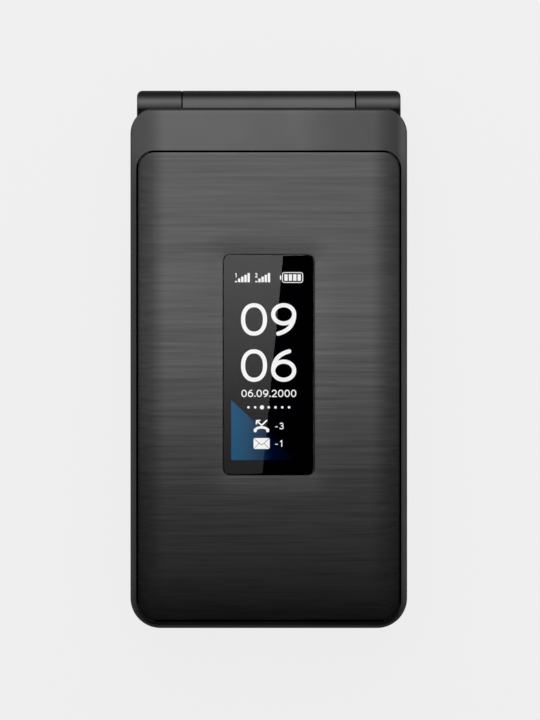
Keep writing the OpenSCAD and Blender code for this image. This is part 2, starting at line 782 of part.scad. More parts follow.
// The cover slides towards the bottom end, and its tongues leave the rear cover
module battery_cover() {
    color("#242425") union() {
        difference() {
            intersection() {
                back_form();
                cover_zone(0);
            }
            prism(outline(base_w, base_y0, cover_y1 + past + 3, base_bottom_r, 1, 2.6),
                cover_t, cover_split_z + past);
        }
        tongues(0);
        for (x = tongues_at)
            block(x - tongue_w / 2, x + tongue_w / 2, cover_y1 - 2 * tongue_t, cover_y1 - 0.2,
                cover_t - 0.3, cover_t + 1.5 * tongue_t);
    }
}

module base_rear_cover() {
    side_x = base_w / 2;
    color("#262627") difference() {
        back_form();
        cover_zone(fit);
        tongues(fit);
        hinge_cylinder(-phone_w, phone_w, pocket_r);
        // Battery bay, open to the back
        block(-bay_w / 2, bay_w / 2, bay_y0, bay_y1, -past, bay_roof_z);
        sim_seat();
        // Room for the board, and the deep room by the camera and loudspeaker
        prism(outline(base_w, base_y0, base_room_y1 + base_wall, base_bottom_r, 1, base_wall),
            board_z - 0.1, base_split_z + past);
        block(-room_w / 2, room_w / 2, room_y0, room_y1, room_z, base_split_z + past);
        // Sockets
        block(-usb_w / 2 - fit, usb_w / 2 + fit, base_y0 - past, base_y0 + usb_l + 0.6,
            usb_z - fit, base_split_z + past);
        translate([room_w / 2 - past, jack_y, jack_z]) rotate([0, 90, 0])
            cylinder(h = rocker_wall + 2 * past, r = jack_bore_r + jack_wall + fit, $fn = 48);
        // Volume rocker
        block(-side_x - past, -room_w / 2 + past, rocker_y - rocker_l / 2 - 0.2,
            rocker_y + rocker_l / 2 + 0.2, rocker_z - rocker_h / 2 - 0.2, rocker_z + rocker_h / 2 + 0.2);
        // Camera, lamp and grille
        translate([camera_at.x, camera_at.y, -past]) {
            cylinder(h = room_z + 2 * past, r = camera_r - 0.7, $fn = 48);
            cylinder(h = past + 0.7, r = camera_r + 0.1, $fn = 48);
        }
        translate([lamp_at.x, lamp_at.y, -past]) cylinder(h = room_z + 2 * past, r = lamp_r + 0.1, $fn = 32);
        for (at = grille_at()) translate([at.x, at.y, -past])
            cylinder(h = room_z + 2 * past, r = grille_r, $fn = 16);
        // Screws, pocket of the antenna and pocket of the contacts
        for (k = [0 : 3]) translate([base_screws_at[k].x, base_screws_at[k].y, 0]) {
            translate([0, 0, -past])
                cylinder(h = past + base_screw_z[k] + screw_head_t, r = screw_head_r + 0.2, $fn = 32);
            cylinder(h = base_split_z + past, r = screw_r + 0.15, $fn = 24);
        }
        antenna_pocket(fit);
        contact_pocket(fit);
    }
}

function grille_at() = [
    for (row = [-1 : 1], k = [0 : grille_holes - 1])
        [speaker_at.x + (k - (grille_holes - 1) / 2) * grille_pitch, speaker_at.y + row * grille_pitch]
];

module sim_seat() {
    block(-sim_w / 2 - fit, sim_w / 2 + fit, sim_y0 - fit, sim_y0 + sim_l + fit,
        bay_roof_z - past, bay_roof_z + bay_roof_t / 2);
}

module antenna_pocket(gap) {
    block(antenna_x0 - gap, antenna_x1 + gap, base_y0 + antenna_low - gap, bay_y0 - 1.4 + gap,
        cover_split_z + 0.9 - gap, base_split_z + (gap > 0 ? past : -1.3));
}

module contact_pocket(gap) {
    block(-contacts_w / 2 - gap, contacts_w / 2 + gap, bay_y1 - past, bay_y1 + 1.2 + gap,
        battery_z + 1.2 - gap, bay_roof_z + (gap > 0 ? past : -0.2));
}

// One knuckle, with its rounded outer end, on the +X side
module knuckle() {
    l = knuckle_end_x - knuckle_x;
    rounding = [for (i = [0 : 5]) let (a = 18 * i)
        [barrel_r - knuckle_round * (1 - cos(a)), l - knuckle_round * (1 - sin(a))]];
    translate([knuckle_x, axis_y, axis_z]) rotate([0, 90, 0])
        rotate_extrude($fn = 72) polygon(concat([[0, 0], [barrel_r, 0]], rounding, [[0, l]]));
}

module base_front_cover() {
    edge = 0.5;
    color("#202021") difference() {
        union() {
            difference() {
                loft([
                    flat_ring(base_outline(0), base_split_z),
                    flat_ring(base_outline(0), base_t - edge),
                    flat_ring(base_outline(0.3 * edge), base_t - 0.3 * edge),
                    flat_ring(base_outline(edge), base_t)
                ]);
                hinge_cylinder(-phone_w, phone_w, pocket_r);
                // Room under the deck
                prism(outline(base_w, base_y0, base_room_y1 + base_wall, base_bottom_r, 1, base_wall),
                    base_split_z - past, deck_under_z);
                translate([0, (keypad_y0 + keypad_y1) / 2, 0])
                    prism(round_rect(keypad_w, keypad_y1 - keypad_y0, 3), keypad_z, base_t + past);
            }
            both_sides() {
                knuckle();
                block(knuckle_x, knuckle_end_x - 0.6, axis_y - pocket_r - 0.6, axis_y - barrel_r / 2,
                    base_split_z + 0.1, base_t - touch);
            }
            for (at = base_screws_at) translate([at.x, at.y, base_split_z])
                cylinder(h = deck_under_z - base_split_z + 0.1, r = screw_r + 0.9, $fn = 32);
        }
        // Bearings of the hinge, and recesses for the barrel's spigots
        hinge_cylinder(-barrel_l / 2 - spigot_l - spigot_gap, barrel_l / 2 + spigot_l + spigot_gap,
            spigot_r + spigot_gap);
        hinge_cylinder(-barrel_l / 2 - nose_l - 0.2, 0, hinge_nose_r + bearing_gap);
        hinge_cylinder(0, barrel_l / 2 + nose_l + 0.2, hinge_unit_r + bearing_gap);
        // Holes of the keys
        for (k = keys) translate([k[1], k[2], 0])
            prism(round_rect(k[3] + 2 * key_clear, k[4] + 2 * key_clear, k[5] + key_clear, key_arc_steps),
                deck_under_z - past, base_t + past);
        translate([0, nav_y, 0])
            prism(round_rect(nav_w + 2 * ring_gap, nav_l + 2 * ring_gap, nav_r + ring_gap),
                deck_under_z - past, base_t + past);
        translate([mic_at.x, mic_at.y, deck_under_z - past])
            cylinder(h = 3 * past, r = mic_hole_r, $fn = 24);
        for (at = base_screws_at) translate([at.x, at.y, board_z])
            cylinder(h = base_t - board_z - 0.6, r = screw_r, $fn = 24);
    }
}

module microphone() {
    color("#b0a070") translate([mic_at.x, mic_at.y, dome_z + 0.02])
        cylinder(h = deck_under_z - dome_z - 0.07, r = mic_r, $fn = 32);
}

// Board under the keys, with room for the sockets and the screws
module main_board() {
    color("#1e6b3f") difference() {
        prism(outline(base_w, base_y0, base_room_y1 + base_wall, base_bottom_r, 1, base_wall + 0.2),
            board_z, board_z + board_t);
        for (at = base_screws_at) translate([at.x, at.y, board_z - past])
            cylinder(h = board_t + 2 * past, r = screw_r + 1.2, $fn = 32);
        block(jack_inner_x - 0.3, phone_w, jack_y - jack_body / 2 - 0.3,
            jack_y + jack_body / 2 + 0.3, board_z - past, board_z + board_t + past);
        block(-phone_w, -base_w / 2 + base_wall + 2.2, rocker_y - rocker_l / 2 - 1.4,
            rocker_y + rocker_l / 2 + 1.4, board_z - past, board_z + board_t + past);
    }
}

module dome_sheet() {
    color("#c9c9c2") union() {
        block(-block_w / 2 + 0.5, block_w / 2 - 0.5, row_0_y - number_key_l / 2 + 1, keypad_y1 - 2,
            dome_z, dome_z + dome_sheet_t);
        for (k = concat(keys, ring_domes())) translate([k[1], k[2], dome_z + dome_sheet_t / 2])
            cylinder(h = dome_h + dome_sheet_t / 2, r1 = dome_r, r2 = dome_r * 0.5, $fn = 32);
    }
}

function ring_domes() = [
    for (a = [0 : 90 : 270]) ["", ring_dome_r * cos(a), nav_y + ring_dome_r * sin(a)]
];

// Keys: name, x, y, width, length, corner radius
number_names = [["key_star", "key_0", "key_hash"], ["key_7", "key_8", "key_9"],
    ["key_4", "key_5", "key_6"], ["key_1", "key_2", "key_3"]];
keys = concat(
    [for (row = [0 : 3], column = [0 : 2]) [
        number_names[row][column], (column - 1) * number_pitch_x, row_0_y + row * number_pitch_y,
        number_key_w, number_key_l, 1.6
    ]],
    [
        ["soft_left", -side_key_x, nav_y + side_key_y, side_key_w, side_key_l, 1.6],
        ["soft_right", side_key_x, nav_y + side_key_y, side_key_w, side_key_l, 1.6],
        ["call_key", -side_key_x, nav_y - side_key_y, side_key_w, side_key_l, 1.6],
        ["end_key", side_key_x, nav_y - side_key_y, side_key_w, side_key_l, 1.6],
        ["ok_key", 0, nav_y, ok_w, ok_l, 3.6]
    ]
);

// A key cap, its foot under the deck and the nub over its dome
module key_piece(name) {
    k = keys[search([name], keys)[0]];
    foot = name == "ok_key" ? 0 : key_foot + key_clear;
    translate([k[1], k[2], 0]) {
        soft_plate(k[3], k[4], k[5], foot_z, key_top_z, key_edge, key_arc_steps);
        if (foot > 0)
            prism(round_rect(k[3] + 2 * foot, k[4] + 2 * foot, k[5] + foot, key_arc_steps),
                foot_z, foot_z + foot_t);
        translate([0, 0, nub_z]) cylinder(h = 0.6, r = dome_r * 0.6, $fn = 24);
    }
}

module dark_key(name) {
    color("#1a1a1b") union() key_piece(name);
}

module nav_ring() {
    hole_w = ok_w + 2 * ring_gap;
    hole_l = ok_l + 2 * ring_gap;
    foot = key_foot + ring_gap;
    color("#707173") translate([0, nav_y, 0]) difference() {
        union() {
            soft_plate(nav_w, nav_l, nav_r, foot_z, key_top_z, key_edge);
            prism(round_rect(nav_w + 2 * foot, nav_l + 2 * foot, nav_r + foot),
                foot_z - 0.1, foot_z + foot_t - nav_lift);
        }
        prism(round_rect(hole_w, hole_l, 3.9), foot_z - past, base_t + past);
    }
}

module volume_rocker() {
    color("#1a1a1b") union() {
        translate([-base_w / 2 - rocker_out, rocker_y, rocker_z]) rotate([0, 90, 0])
            linear_extrude(rocker_wall + rocker_out + 0.5)
                polygon(round_rect(rocker_h, rocker_l, rocker_h / 2 - 0.1, key_arc_steps));
        translate([-room_w / 2 + 0.4, rocker_y, rocker_z]) rotate([0, 90, 0])
            linear_extrude(0.6)
                polygon(round_rect(rocker_h + 2 * rocker_foot, rocker_l + 2 * rocker_foot,
                    rocker_h / 2 - 0.1, key_arc_steps));
    }
}

module battery() {
    color("#34506b") union() {
        translate([0, battery_y0 + battery_l / 2, 0])
            prism(round_rect(battery_w, battery_l, 1.8), battery_z, battery_z + battery_t);
        block(-contacts_w / 3, contacts_w / 3, battery_y0 + battery_l - 0.3,
            battery_y0 + battery_l + touch, battery_z + 1, battery_z + battery_t - 1);
    }
}

// Block of three sprung contacts at the end of the battery
module battery_contacts() {
    color("#c8a24a") union() {
        contact_pocket(0);
        for (k = [-1 : 1])
            block(k * contact_pitch - contact_w / 2, k * contact_pitch + contact_w / 2,
                battery_y0 + battery_l + 2 * touch, bay_y1 - past + 0.1,
                battery_z + 1.4, battery_z + 1.4 + contact_w);
    }
}

module sim_holder() {
    z = bay_roof_z + touch;
    color("#b9bcc0") difference() {
        block(-sim_w / 2, sim_w / 2, sim_y0, sim_y0 + sim_l, z, bay_roof_z + bay_roof_t / 2 - 0.02);
        for (x = [-1, 1]) translate([x * sim_slot_x - sim_slot.x / 2, sim_y0 + 1.8, z - past])
            cube([sim_slot.x, sim_slot.y, 2 * past]);
    }
}

// Charging socket: a metal shell round a tongue
module usb_port() {
    inner_w = usb_w - 2 * usb_wall;
    color("#b4b6b8") union() {
        difference() {
            block(-usb_w / 2, usb_w / 2, base_y0 + fit, base_y0 + usb_l, usb_z, usb_z + usb_h);
            block(-inner_w / 2, inner_w / 2, base_y0 - past, base_y0 + usb_l - 0.8,
                usb_z + usb_wall, usb_z + usb_h - usb_wall);
        }
        block(-inner_w / 2 + 1.1, inner_w / 2 - 1.1, base_y0 + 1, base_y0 + usb_l - 0.5,
            usb_z + usb_h / 2 - 0.1, usb_z + usb_h / 2 - 0.1 + usb_tongue_t);
    }
}

// Headset socket: a body inside, a round nose in the wall and a blind bore
module audio_jack() {
    color("#161616") difference() {
        union() {
            block(jack_inner_x, room_w / 2 - 0.2, jack_y - jack_body / 2, jack_y + jack_body / 2,
                jack_z - jack_body / 2, jack_z + jack_body / 2 - 0.7);
            translate([jack_inner_x + 1, jack_y, jack_z]) rotate([0, 90, 0])
                cylinder(h = jack_face_x - jack_inner_x - 1, r = jack_bore_r + jack_wall, $fn = 48);
        }
        translate([jack_face_x - jack_depth, jack_y, jack_z]) rotate([0, 90, 0])
            cylinder(h = jack_depth + past, r = jack_bore_r, $fn = 48);
    }
}

module camera_module() {
    color("#151515") translate([camera_at.x, camera_at.y, 0]) union() {
        block(-camera_w / 2, camera_w / 2, -camera_w / 2, camera_w / 2, room_z + touch, room_z + camera_t);
        translate([0, 0, 0.75]) cylinder(h = room_z, r = camera_r - 0.9, $fn = 48);
        block(-camera_w / 2 + 1, camera_w / 2 - 1, -camera_w / 2 + 1, camera_w / 2 - 1,
            room_z + camera_t - 0.2, board_z - touch);
    }
}

module camera_window() {
    color("#0c1016") translate([camera_at.x, camera_at.y, 0.1]) cylinder(h = 0.55, r = camera_r, $fn = 48);
}

module lamp() {
    color("#e9e4c8") translate([lamp_at.x, lamp_at.y, 0]) union() {
        translate([0, 0, 0.15]) cylinder(h = room_z + 0.4, r = lamp_r, $fn = 32);
        translate([0, 0, room_z + touch])
            cylinder(h = board_z - room_z - 2 * touch, r = lamp_r + lamp_foot, $fn = 32);
    }
}

module loudspeaker() {
    color("#2c2c2c") translate([speaker_at.x, speaker_at.y, 0]) union() {
        prism(round_rect(speaker_w, speaker_l, 2), room_z + 0.3, room_z + speaker_t);
        prism(round_rect(speaker_w - 2 * speaker_step, speaker_l - 2 * speaker_step, 1.5),
            room_z + speaker_t - 0.2, board_z - touch);
    }
}

module speaker_mesh() {
    color("#101010") translate([speaker_at.x, speaker_at.y, 0])
        prism(round_rect(speaker_w - 1, speaker_l - 1, 1.5), room_z + touch, room_z + 0.25);
}

// Can of the motor, and its round weight on the shaft
module vibration_motor() {
    color("#9c9c9c") translate([motor_at.x, motor_at.y, room_z + touch + motor_r])
        rotate([-90, 0, 0]) union() {
            cylinder(h = motor_l, r = motor_r, $fn = 48);
            cylinder(h = motor_l + 1.1, r = motor_r / 4, $fn = 24);
            translate([0, 0, motor_l + 0.3]) cylinder(h = motor_l / 3, r = motor_r * 0.8, $fn = 48);
        }
}

module antenna_carrier() {
    color("#3a3a3a") antenna_pocket(0);
}

// Two cans on the board, one between lamp and headset socket, one beside the loudspeaker
module shield_cans() {
    z = board_z - touch;
    color("#a9abad") {
        block(lamp_at.x + lamp_r + lamp_foot + room_gap, jack_inner_x - room_gap,
            room_y1 - room_gap / 2 - can_l, room_y1 - room_gap / 2, z - can_t, z);
        block(speaker_at.x + speaker_w / 2 + room_gap, room_w / 2 - room_gap,
            room_y0 + room_gap / 2, room_y0 + room_gap / 2 + can_l, z - can_t, z);
    }
}

module base_screws() {
    color("#8f8f8f") for (k = [0 : 3]) translate([base_screws_at[k].x, base_screws_at[k].y, 0]) {
        translate([0, 0, base_screw_z[k]]) cylinder(h = screw_head_t - 0.02, r = screw_head_r, $fn = 32);
        translate([0, 0, base_screw_z[k] + 0.2])
            cylinder(h = base_t - base_screw_end - base_screw_z[k], r = screw_r - touch, $fn = 24);
    }
}

// ---------------------------------------------------------------- nodes

lid_front_cover();
lid_panel();
outer_lens();
outer_display();
lid_inner_frame();
main_lens();
main_display();
earpiece_mesh();
earpiece_speaker();
lid_board();
lid_bumpers();
lid_screws();
screw_plugs();
lid_magnet();
hinge_unit();
hinge_bush();
hinge_flex();
base_front_cover();
base_rear_cover();
main_board();
dome_sheet();
dark_key("key_1");  // key_1
dark_key("key_2");  // key_2
dark_key("key_3");  // key_3
dark_key("key_4");  // key_4
dark_key("key_5");  // key_5
dark_key("key_6");  // key_6
dark_key("key_7");  // key_7
dark_key("key_8");  // key_8
dark_key("key_9");  // key_9
dark_key("key_star");  // key_star
dark_key("key_0");  // key_0
dark_key("key_hash");  // key_hash
dark_key("soft_left");  // soft_left
dark_key("soft_right");  // soft_right
dark_key("call_key");  // call_key
dark_key("end_key");  // end_key
nav_ring();
dark_key("ok_key");  // ok_key
volume_rocker();
battery();
battery_cover();
battery_contacts();
sim_holder();
usb_port();
audio_jack();
camera_module();
camera_window();
lamp();
loudspeaker();
speaker_mesh();
microphone();
vibration_motor();
antenna_carrier();
shield_cans();
base_screws();
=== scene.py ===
"""Flip phone, closed, on a plain pale floor in soft studio light."""
import math

import bpy
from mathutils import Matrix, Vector


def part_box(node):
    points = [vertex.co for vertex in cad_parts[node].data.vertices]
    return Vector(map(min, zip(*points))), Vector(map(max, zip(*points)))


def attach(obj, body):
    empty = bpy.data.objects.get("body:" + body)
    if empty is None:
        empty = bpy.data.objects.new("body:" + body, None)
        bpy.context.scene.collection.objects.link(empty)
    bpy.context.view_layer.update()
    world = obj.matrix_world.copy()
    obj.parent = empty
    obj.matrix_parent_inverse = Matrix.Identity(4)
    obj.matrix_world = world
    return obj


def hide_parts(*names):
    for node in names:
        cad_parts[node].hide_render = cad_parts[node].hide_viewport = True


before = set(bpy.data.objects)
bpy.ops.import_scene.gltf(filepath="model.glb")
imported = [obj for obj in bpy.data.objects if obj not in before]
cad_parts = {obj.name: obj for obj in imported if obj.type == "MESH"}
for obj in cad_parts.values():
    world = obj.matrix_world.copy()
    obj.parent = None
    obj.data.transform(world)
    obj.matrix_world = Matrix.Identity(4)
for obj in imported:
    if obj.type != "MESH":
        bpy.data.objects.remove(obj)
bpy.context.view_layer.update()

MM = 0.001

# ------------------------------------------------------------------ sizes in mm, as in the CAD source
PHONE_W = 57.0
LID_Y0, LID_Y1 = -55.4, 51.74
LID_R0, LID_R1 = 6.2, 5.3
LID_EDGE_R = 1.2
CROWN_W, CROWN_DROP = 6.5, 1.6
END_L, END_DROP = 6.5, 0.6
LID_WALL = 1.5
SPLIT_Z, ROOF_Z, PANEL_Z, TOP_Z = 12.10, 17.0, 17.8, 18.8
CAVITY_STEP_Z = 15.6
ROOM_Y1 = 44.3
AXIS_Y, AXIS_Z, POCKET_R = 50.8, 10.2, 5.0
BARREL_R, BARREL_HALF = 4.6, 17.75
PANEL_HALF, PANEL_Y0, PANEL_Y1 = 27.10, -53.96, 42.74
PANEL_R0, PANEL_R1 = 4.5, 3.6
GROOVE = 0.2
LENS_Y, LENS_W, LENS_L, LENS_R = -1.2, 18.8, 45.4, 1.5
LENS_TOP = 18.75
WINDOW_W, WINDOW_L = 15.8, 42.4
PICTURE_HALF, PICTURE_Y0, PICTURE_Y1 = 7.74, -20.8, 19.26
IMAGE_Z = 17.83              # height of the display's signs
COVER_Y1, COVER_FIT, COVER_T = 11.9, 0.15, 1.1
PX_MM = 0.20652              # of a pixel of the photograph
PX_CENTRE = (268.5, 359.25)  # pixel of the photograph over the middle of the phone

# ------------------------------------------------------------------ camera and studio
SENSOR = 36.0
FOCAL = 600.0
SPAN = 148.4 * MM            # height of the view at the lid
AIM = Vector((0.25 * MM, -0.20 * MM, 15 * MM))
PALE = 0.863                 # the photograph's background
DIM_FLOOR = 0.16             # the floor's colour to the light that falls back on the object


def make_camera():
    data = bpy.data.cameras.new("camera")
    data.sensor_width = SENSOR
    data.lens = FOCAL
    data.clip_start, data.clip_end = 0.01, 50
    cam = bpy.data.objects.new("camera", data)
    cam.location = AIM + Vector((0, 0, SPAN * FOCAL / SENSOR))
    bpy.context.scene.collection.objects.link(cam)
    bpy.context.scene.camera = cam


# ------------------------------------------------------------------ mesh helpers
def make_object(name, verts, faces, material, smooth_angle=30.0, second=None, takes_second=None):
    """New mesh object from points in mm.

    A second material goes to the faces that a test of their centre and normal picks."""
    mesh = bpy.data.meshes.new(name)
    mesh.from_pydata([(x * MM, y * MM, z * MM) for x, y, z in verts], [], faces)
    mesh.validate()
    mesh.update()
    mesh.materials.append(material)
    if second:
        mesh.materials.append(second)
        for f in mesh.polygons:
            x, y, z = f.center / MM
            f.material_index = int(takes_second(x, y, z, f.normal))
    if smooth_angle:
        mesh.shade_smooth()
        mesh.set_sharp_from_angle(angle=math.radians(smooth_angle))
    obj = bpy.data.objects.new(name, mesh)
    bpy.context.scene.collection.objects.link(obj)
    return obj


def loft(rings, closed=False):
    """Quads through rings of equally many points. A closed loft joins its last ring to its first."""
    n = len(rings[0])
    verts = [p for ring in rings for p in ring]
    faces = []
    for k in range(len(rings) if closed else len(rings) - 1):
        a, b = k * n, (k + 1) % len(rings) * n
        for i in range(n):
            j = (i + 1) % n
            faces.append((a + i, a + j, b + j, b + i))
    if not closed:
        faces.append(tuple(range(n - 1, -1, -1)))
        faces.append(tuple((len(rings) - 1) * n + i for i in range(n)))
    return verts, faces


SIDE = (0.15, 0.35, 0.5, 0.65, 0.85, 0.95, 0.98, 0.993)
ACROSS = (-0.97, -0.93, -0.5, 0, 0.5, 0.93, 0.97)


def outline(half, y0, y1, r0, r1, steps=14):
    """Rounded outline, anticlockwise from the lower right corner, with points along each side."""
    pts = []

    def arc(cx, cy, r, start):
        for i in range(steps + 1):
            a = math.radians(start + 90 * i / steps)
            pts.append((cx + r * math.cos(a), cy + r * math.sin(a)))

    r0, r1 = max(r0, 0.3), max(r1, 0.3)
    lo, hi = y0 + r0, y1 - r1
    arc(half - r0, lo, r0, -90)
    pts.extend((half, lo + (hi - lo) * f) for f in SIDE)
    arc(half - r1, hi, r1, 0)
    pts.extend((-f * (half - r1), y1) for f in ACROSS)
    arc(-half + r1, hi, r1, 90)
    pts.extend((-half, lo + (hi - lo) * f) for f in reversed(SIDE))
    arc(-half + r0, lo, r0, 180)
    pts.extend((f * (half - r0), y0) for f in ACROSS)
    return pts


def between(a, b, f):
    return [(p[0] + (q[0] - p[0]) * f, p[1] + (q[1] - p[1]) * f) for p, q in zip(a, b)]


def lift(points, height):
    """Points in the plane raised to a height, or to a function of x and y."""
    if callable(height):
        return [(x, y, height(x, y)) for x, y in points]
    return [(x, y, height) for x, y in points]


# ------------------------------------------------------------------ form of the lid
def arc_fall(u, length, depth):
    """Fall of an arc that starts level and reaches the depth after the length."""
    r = (length * length + depth * depth) / (2 * depth)
    v = min(max(u, 0), length)
    return r - math.sqrt(r * r - v * v)


def crown_fall(x):
    return arc_fall(abs(x) - (PHONE_W / 2 - CROWN_W), CROWN_W, CROWN_DROP)


def lid_depth(x, y):
    """Distance from the lid's outline, inwards."""
    r = LID_R0 if y < 0 else LID_R1
    qx = abs(x) - (PHONE_W / 2 - r)
    qy = (LID_Y0 + r - y) if y < 0 else (y - LID_Y1 + r)
    return r - (math.hypot(qx, qy) if qx > 0 and qy > 0 else max(qx, qy))


def face_z(x, y):
    """Height of the lid's face, with its long sides, its free end and its rounded edge."""
    z = TOP_Z - crown_fall(x) - arc_fall(LID_Y0 + END_L - y, END_L, END_DROP)
    d = lid_depth(x, y)
    if d < LID_EDGE_R:
        z -= LID_EDGE_R - math.sqrt(max(0.0, LID_EDGE_R ** 2 - (LID_EDGE_R - max(d, 0)) ** 2))
    return z


def pocket_z(x, y):
    return PANEL_Z - crown_fall(x)


def seam_z(x, y):
    """Lower edge of the lid cover: flat, then round the hinge."""
    reach = POCKET_R ** 2 - (y - AXIS_Y) ** 2
    return max(SPLIT_Z, AXIS_Z + math.sqrt(reach)) if reach > 0 else SPLIT_Z


def lid_outline(inset):
    return outline(PHONE_W / 2 - inset, LID_Y0 + inset, LID_Y1 - inset, LID_R0 - inset, LID_R1 - inset)


def panel_outline(grow):
    return outline(PANEL_HALF + grow, PANEL_Y0 - grow, PANEL_Y1 + grow, PANEL_R0 + grow, PANEL_R1 + grow)


def window_outline(w, length, r):
    return outline(w / 2, LENS_Y - length / 2, LENS_Y + length / 2, r, r)


def in_groove(x, y, z, normal):
    """Walls and floor of the groove round the panel, which take the near-black material as painted shade."""
    if z < PANEL_Z - CROWN_DROP - 0.1 or normal.z < -0.5:
        return False
    dx = abs(x) - PANEL_HALF
    dy = max(PANEL_Y0 - y, y - PANEL_Y1)
    under = face_z(x, y) - z > 0.05
    return under and max(dx, dy) > -3.5 and normal.z < 0.9 or under and max(dx, dy) > -0.6


def make_lid_shell(material, black):
    """Cover of the lid, one closed loft round its edge, over the face and down the window."""
    wall = lambda dz: (lambda x, y: seam_z(x, y) + dz)
    rings = [lift(lid_outline(0.06), wall(0)), lift(lid_outline(0), wall(0.06))]
    for a in range(0, 81, 10):
        inset = LID_EDGE_R * (1 - math.cos(math.radians(a)))
        rings.append(lift(lid_outline(inset), face_z))
    last = lid_outline(LID_EDGE_R * (1 - math.cos(math.radians(80))))
    edge = panel_outline(GROOVE + 0.04)
    for f in (0.04, 0.12, 0.25, 0.4, 0.55, 0.7, 0.85, 1):
        rings.append(lift(between(last, edge, f), face_z))
    rim = panel_outline(GROOVE)
    rings.append(lift(rim, lambda x, y: face_z(x, y) - 0.04))
    rings.append(lift(rim, pocket_z))
    for inset in (1.3, 2.6, 4.0, 5.4):
        rings.append(lift(panel_outline(GROOVE - inset), pocket_z))
    rings.append(lift(window_outline(WINDOW_W, WINDOW_L, LENS_R), PANEL_Z))
    rings.append(lift(window_outline(WINDOW_W, WINDOW_L, LENS_R), ROOF_Z))
    deep = outline(PHONE_W / 2 - 4.6, LID_Y0 + 4.6, ROOM_Y1, LID_R0 - 4.6, 0.4)
    room = outline(PHONE_W / 2 - LID_WALL, LID_Y0 + LID_WALL, ROOM_Y1, LID_R0 - LID_WALL, 0.5)
    rings.append(lift(deep, ROOF_Z))
    rings.append(lift(deep, CAVITY_STEP_Z))
    rings.append(lift(room, CAVITY_STEP_Z))
    rings.append(lift(room, SPLIT_Z))
    for f in (0.25, 0.32, 0.4, 0.5, 0.6, 0.7, 0.8, 0.9):
        rings.append(lift(between(room, lid_outline(0.06), f), seam_z))
    verts, faces = loft(rings, closed=True)
    return make_object("lid_shell", verts, faces, material, 28, black, in_groove)


def make_panel(material, black):
    """Brushed inlay with softened edges, following the crown of the lid."""
    z0 = lambda x, y: pocket_z(x, y) + 0.05
    rings = [lift(panel_outline(-GROOVE), z0), lift(panel_outline(-GROOVE), lambda x, y: face_z(x, y) - 0.09)]
    rings.append(lift(panel_outline(-GROOVE - 0.03), lambda x, y: face_z(x, y) - 0.03))
    for inset in (0.1, 0.4, 0.9, 1.5, 2.2, 3.0, 3.9, 5.0):
        rings.append(lift(panel_outline(-GROOVE - inset), face_z))
    hole = lambda g: window_outline(LENS_W + 0.16 + 2 * g, LENS_L + 0.16 + 2 * g, LENS_R + 0.08 + g)
    for g in (5, 0.08):
        rings.append(lift(hole(g), face_z))
    rings.append(lift(hole(0.02), lambda x, y: face_z(x, y) - 0.02))
    rings.append(lift(hole(0), lambda x, y: face_z(x, y) - 0.08))
    rings.append(lift(hole(0), PANEL_Z + 0.05))
    rings.append(lift(hole(5), PANEL_Z + 0.05))
    rings.append(lift(panel_outline(-GROOVE - 5.0), z0))
    rings.append(lift(panel_outline(-GROOVE - 2.5), z0))
    verts, faces = loft(rings, closed=True)
    return make_object("panel_inlay", verts, faces, material, 28, black, in_groove)


def make_lens(material):
    """Glass plate with a polished chamfer all round its face."""
    rings = [lift(window_outline(LENS_W, LENS_L, LENS_R), PANEL_Z)]
    for inset, drop in ((0, 0.16), (0.02, 0.1), (0.06, 0.04), (0.12, 0.01), (0.18, 0), (0.35, 0)):
        rings.append(lift(
            window_outline(LENS_W - 2 * inset, LENS_L - 2 * inset, LENS_R - inset), LENS_TOP - drop))
    verts, faces = loft(rings)
    return make_object("outer_lens_glass", verts, faces, material, 40)


def make_lens_print(material):
    """Dark print on the back of the lens, round the display's window."""
    inner = outline(PICTURE_HALF, PICTURE_Y0, PICTURE_Y1, 0.3, 0.3)
    outer = window_outline(LENS_W - 0.1, LENS_L - 0.1, LENS_R - 0.05)
    low, high = PANEL_Z + 0.01, PANEL_Z + 0.03
    rings = [lift(outer, low), lift(outer, high), lift(inner, high), lift(inner, low)]
    verts, faces = loft(rings, closed=True)
    return make_object("outer_lens_print", verts, faces, material, 30)


def make_seam_ring(side, material):
    """Dark ring in the seam between the barrel and a knuckle, a little below their faces: painted shade that
    stands for the shadow in the seam, where the phone has no washer.
    """
    x0, x1 = side * (BARREL_HALF - 0.15), side * (BARREL_HALF + 0.28)
    rings = []
    for x, r in ((x0, BARREL_R - 0.9), (x0, BARREL_R - 0.1), (x1, BARREL_R - 0.1), (x1, BARREL_R - 0.9)):
        rings.append([(x, y, z) for y, z in curve(AXIS_Y, AXIS_Z, r, r, 0, -360 * side, 96)[:-1]])
    verts, faces = loft(rings, closed=True)
    return make_object("seam_shade_ring_left" if side < 0 else "seam_shade_ring_right", verts, faces, material, 30)


def make_cover_seam(material):
    """Dark lip in the slit at the hinge end of the battery cover, against the view along the slit."""
    y = COVER_Y1 + COVER_FIT / 2
    strip = rounded(-11, -5, y - 0.035, y + 0.035, 0.02)
    verts, faces = loft([lift(strip, 0.12), lift(strip, COVER_T - 0.02)])
    return make_object("cover_seam", verts, faces, material, 30)


def make_display_image(material):
    picture = outline(PICTURE_HALF, PICTURE_Y0, PICTURE_Y1, 0.3, 0.3)
    rings = [lift(picture, z) for z in (17.805, 17.82)]
    verts, faces = loft(rings)
    return make_object("outer_display_image", verts, faces, material, 30)


# ------------------------------------------------------------------ plain signs, drawn as strokes
def curve(cx, cy, rx, ry, a0, a1, steps=22, power=1.0):
    """Points on an elliptic arc. A power under 1 makes it squarer."""
    pts = []
    for i in range(steps + 1):
        a = math.radians(a0 + (a1 - a0) * i / steps)
        c, s = math.cos(a), math.sin(a)
        pts.append((cx + rx * math.copysign(abs(c) ** power, c), cy + ry * math.copysign(abs(s) ** power, s)))
    return pts


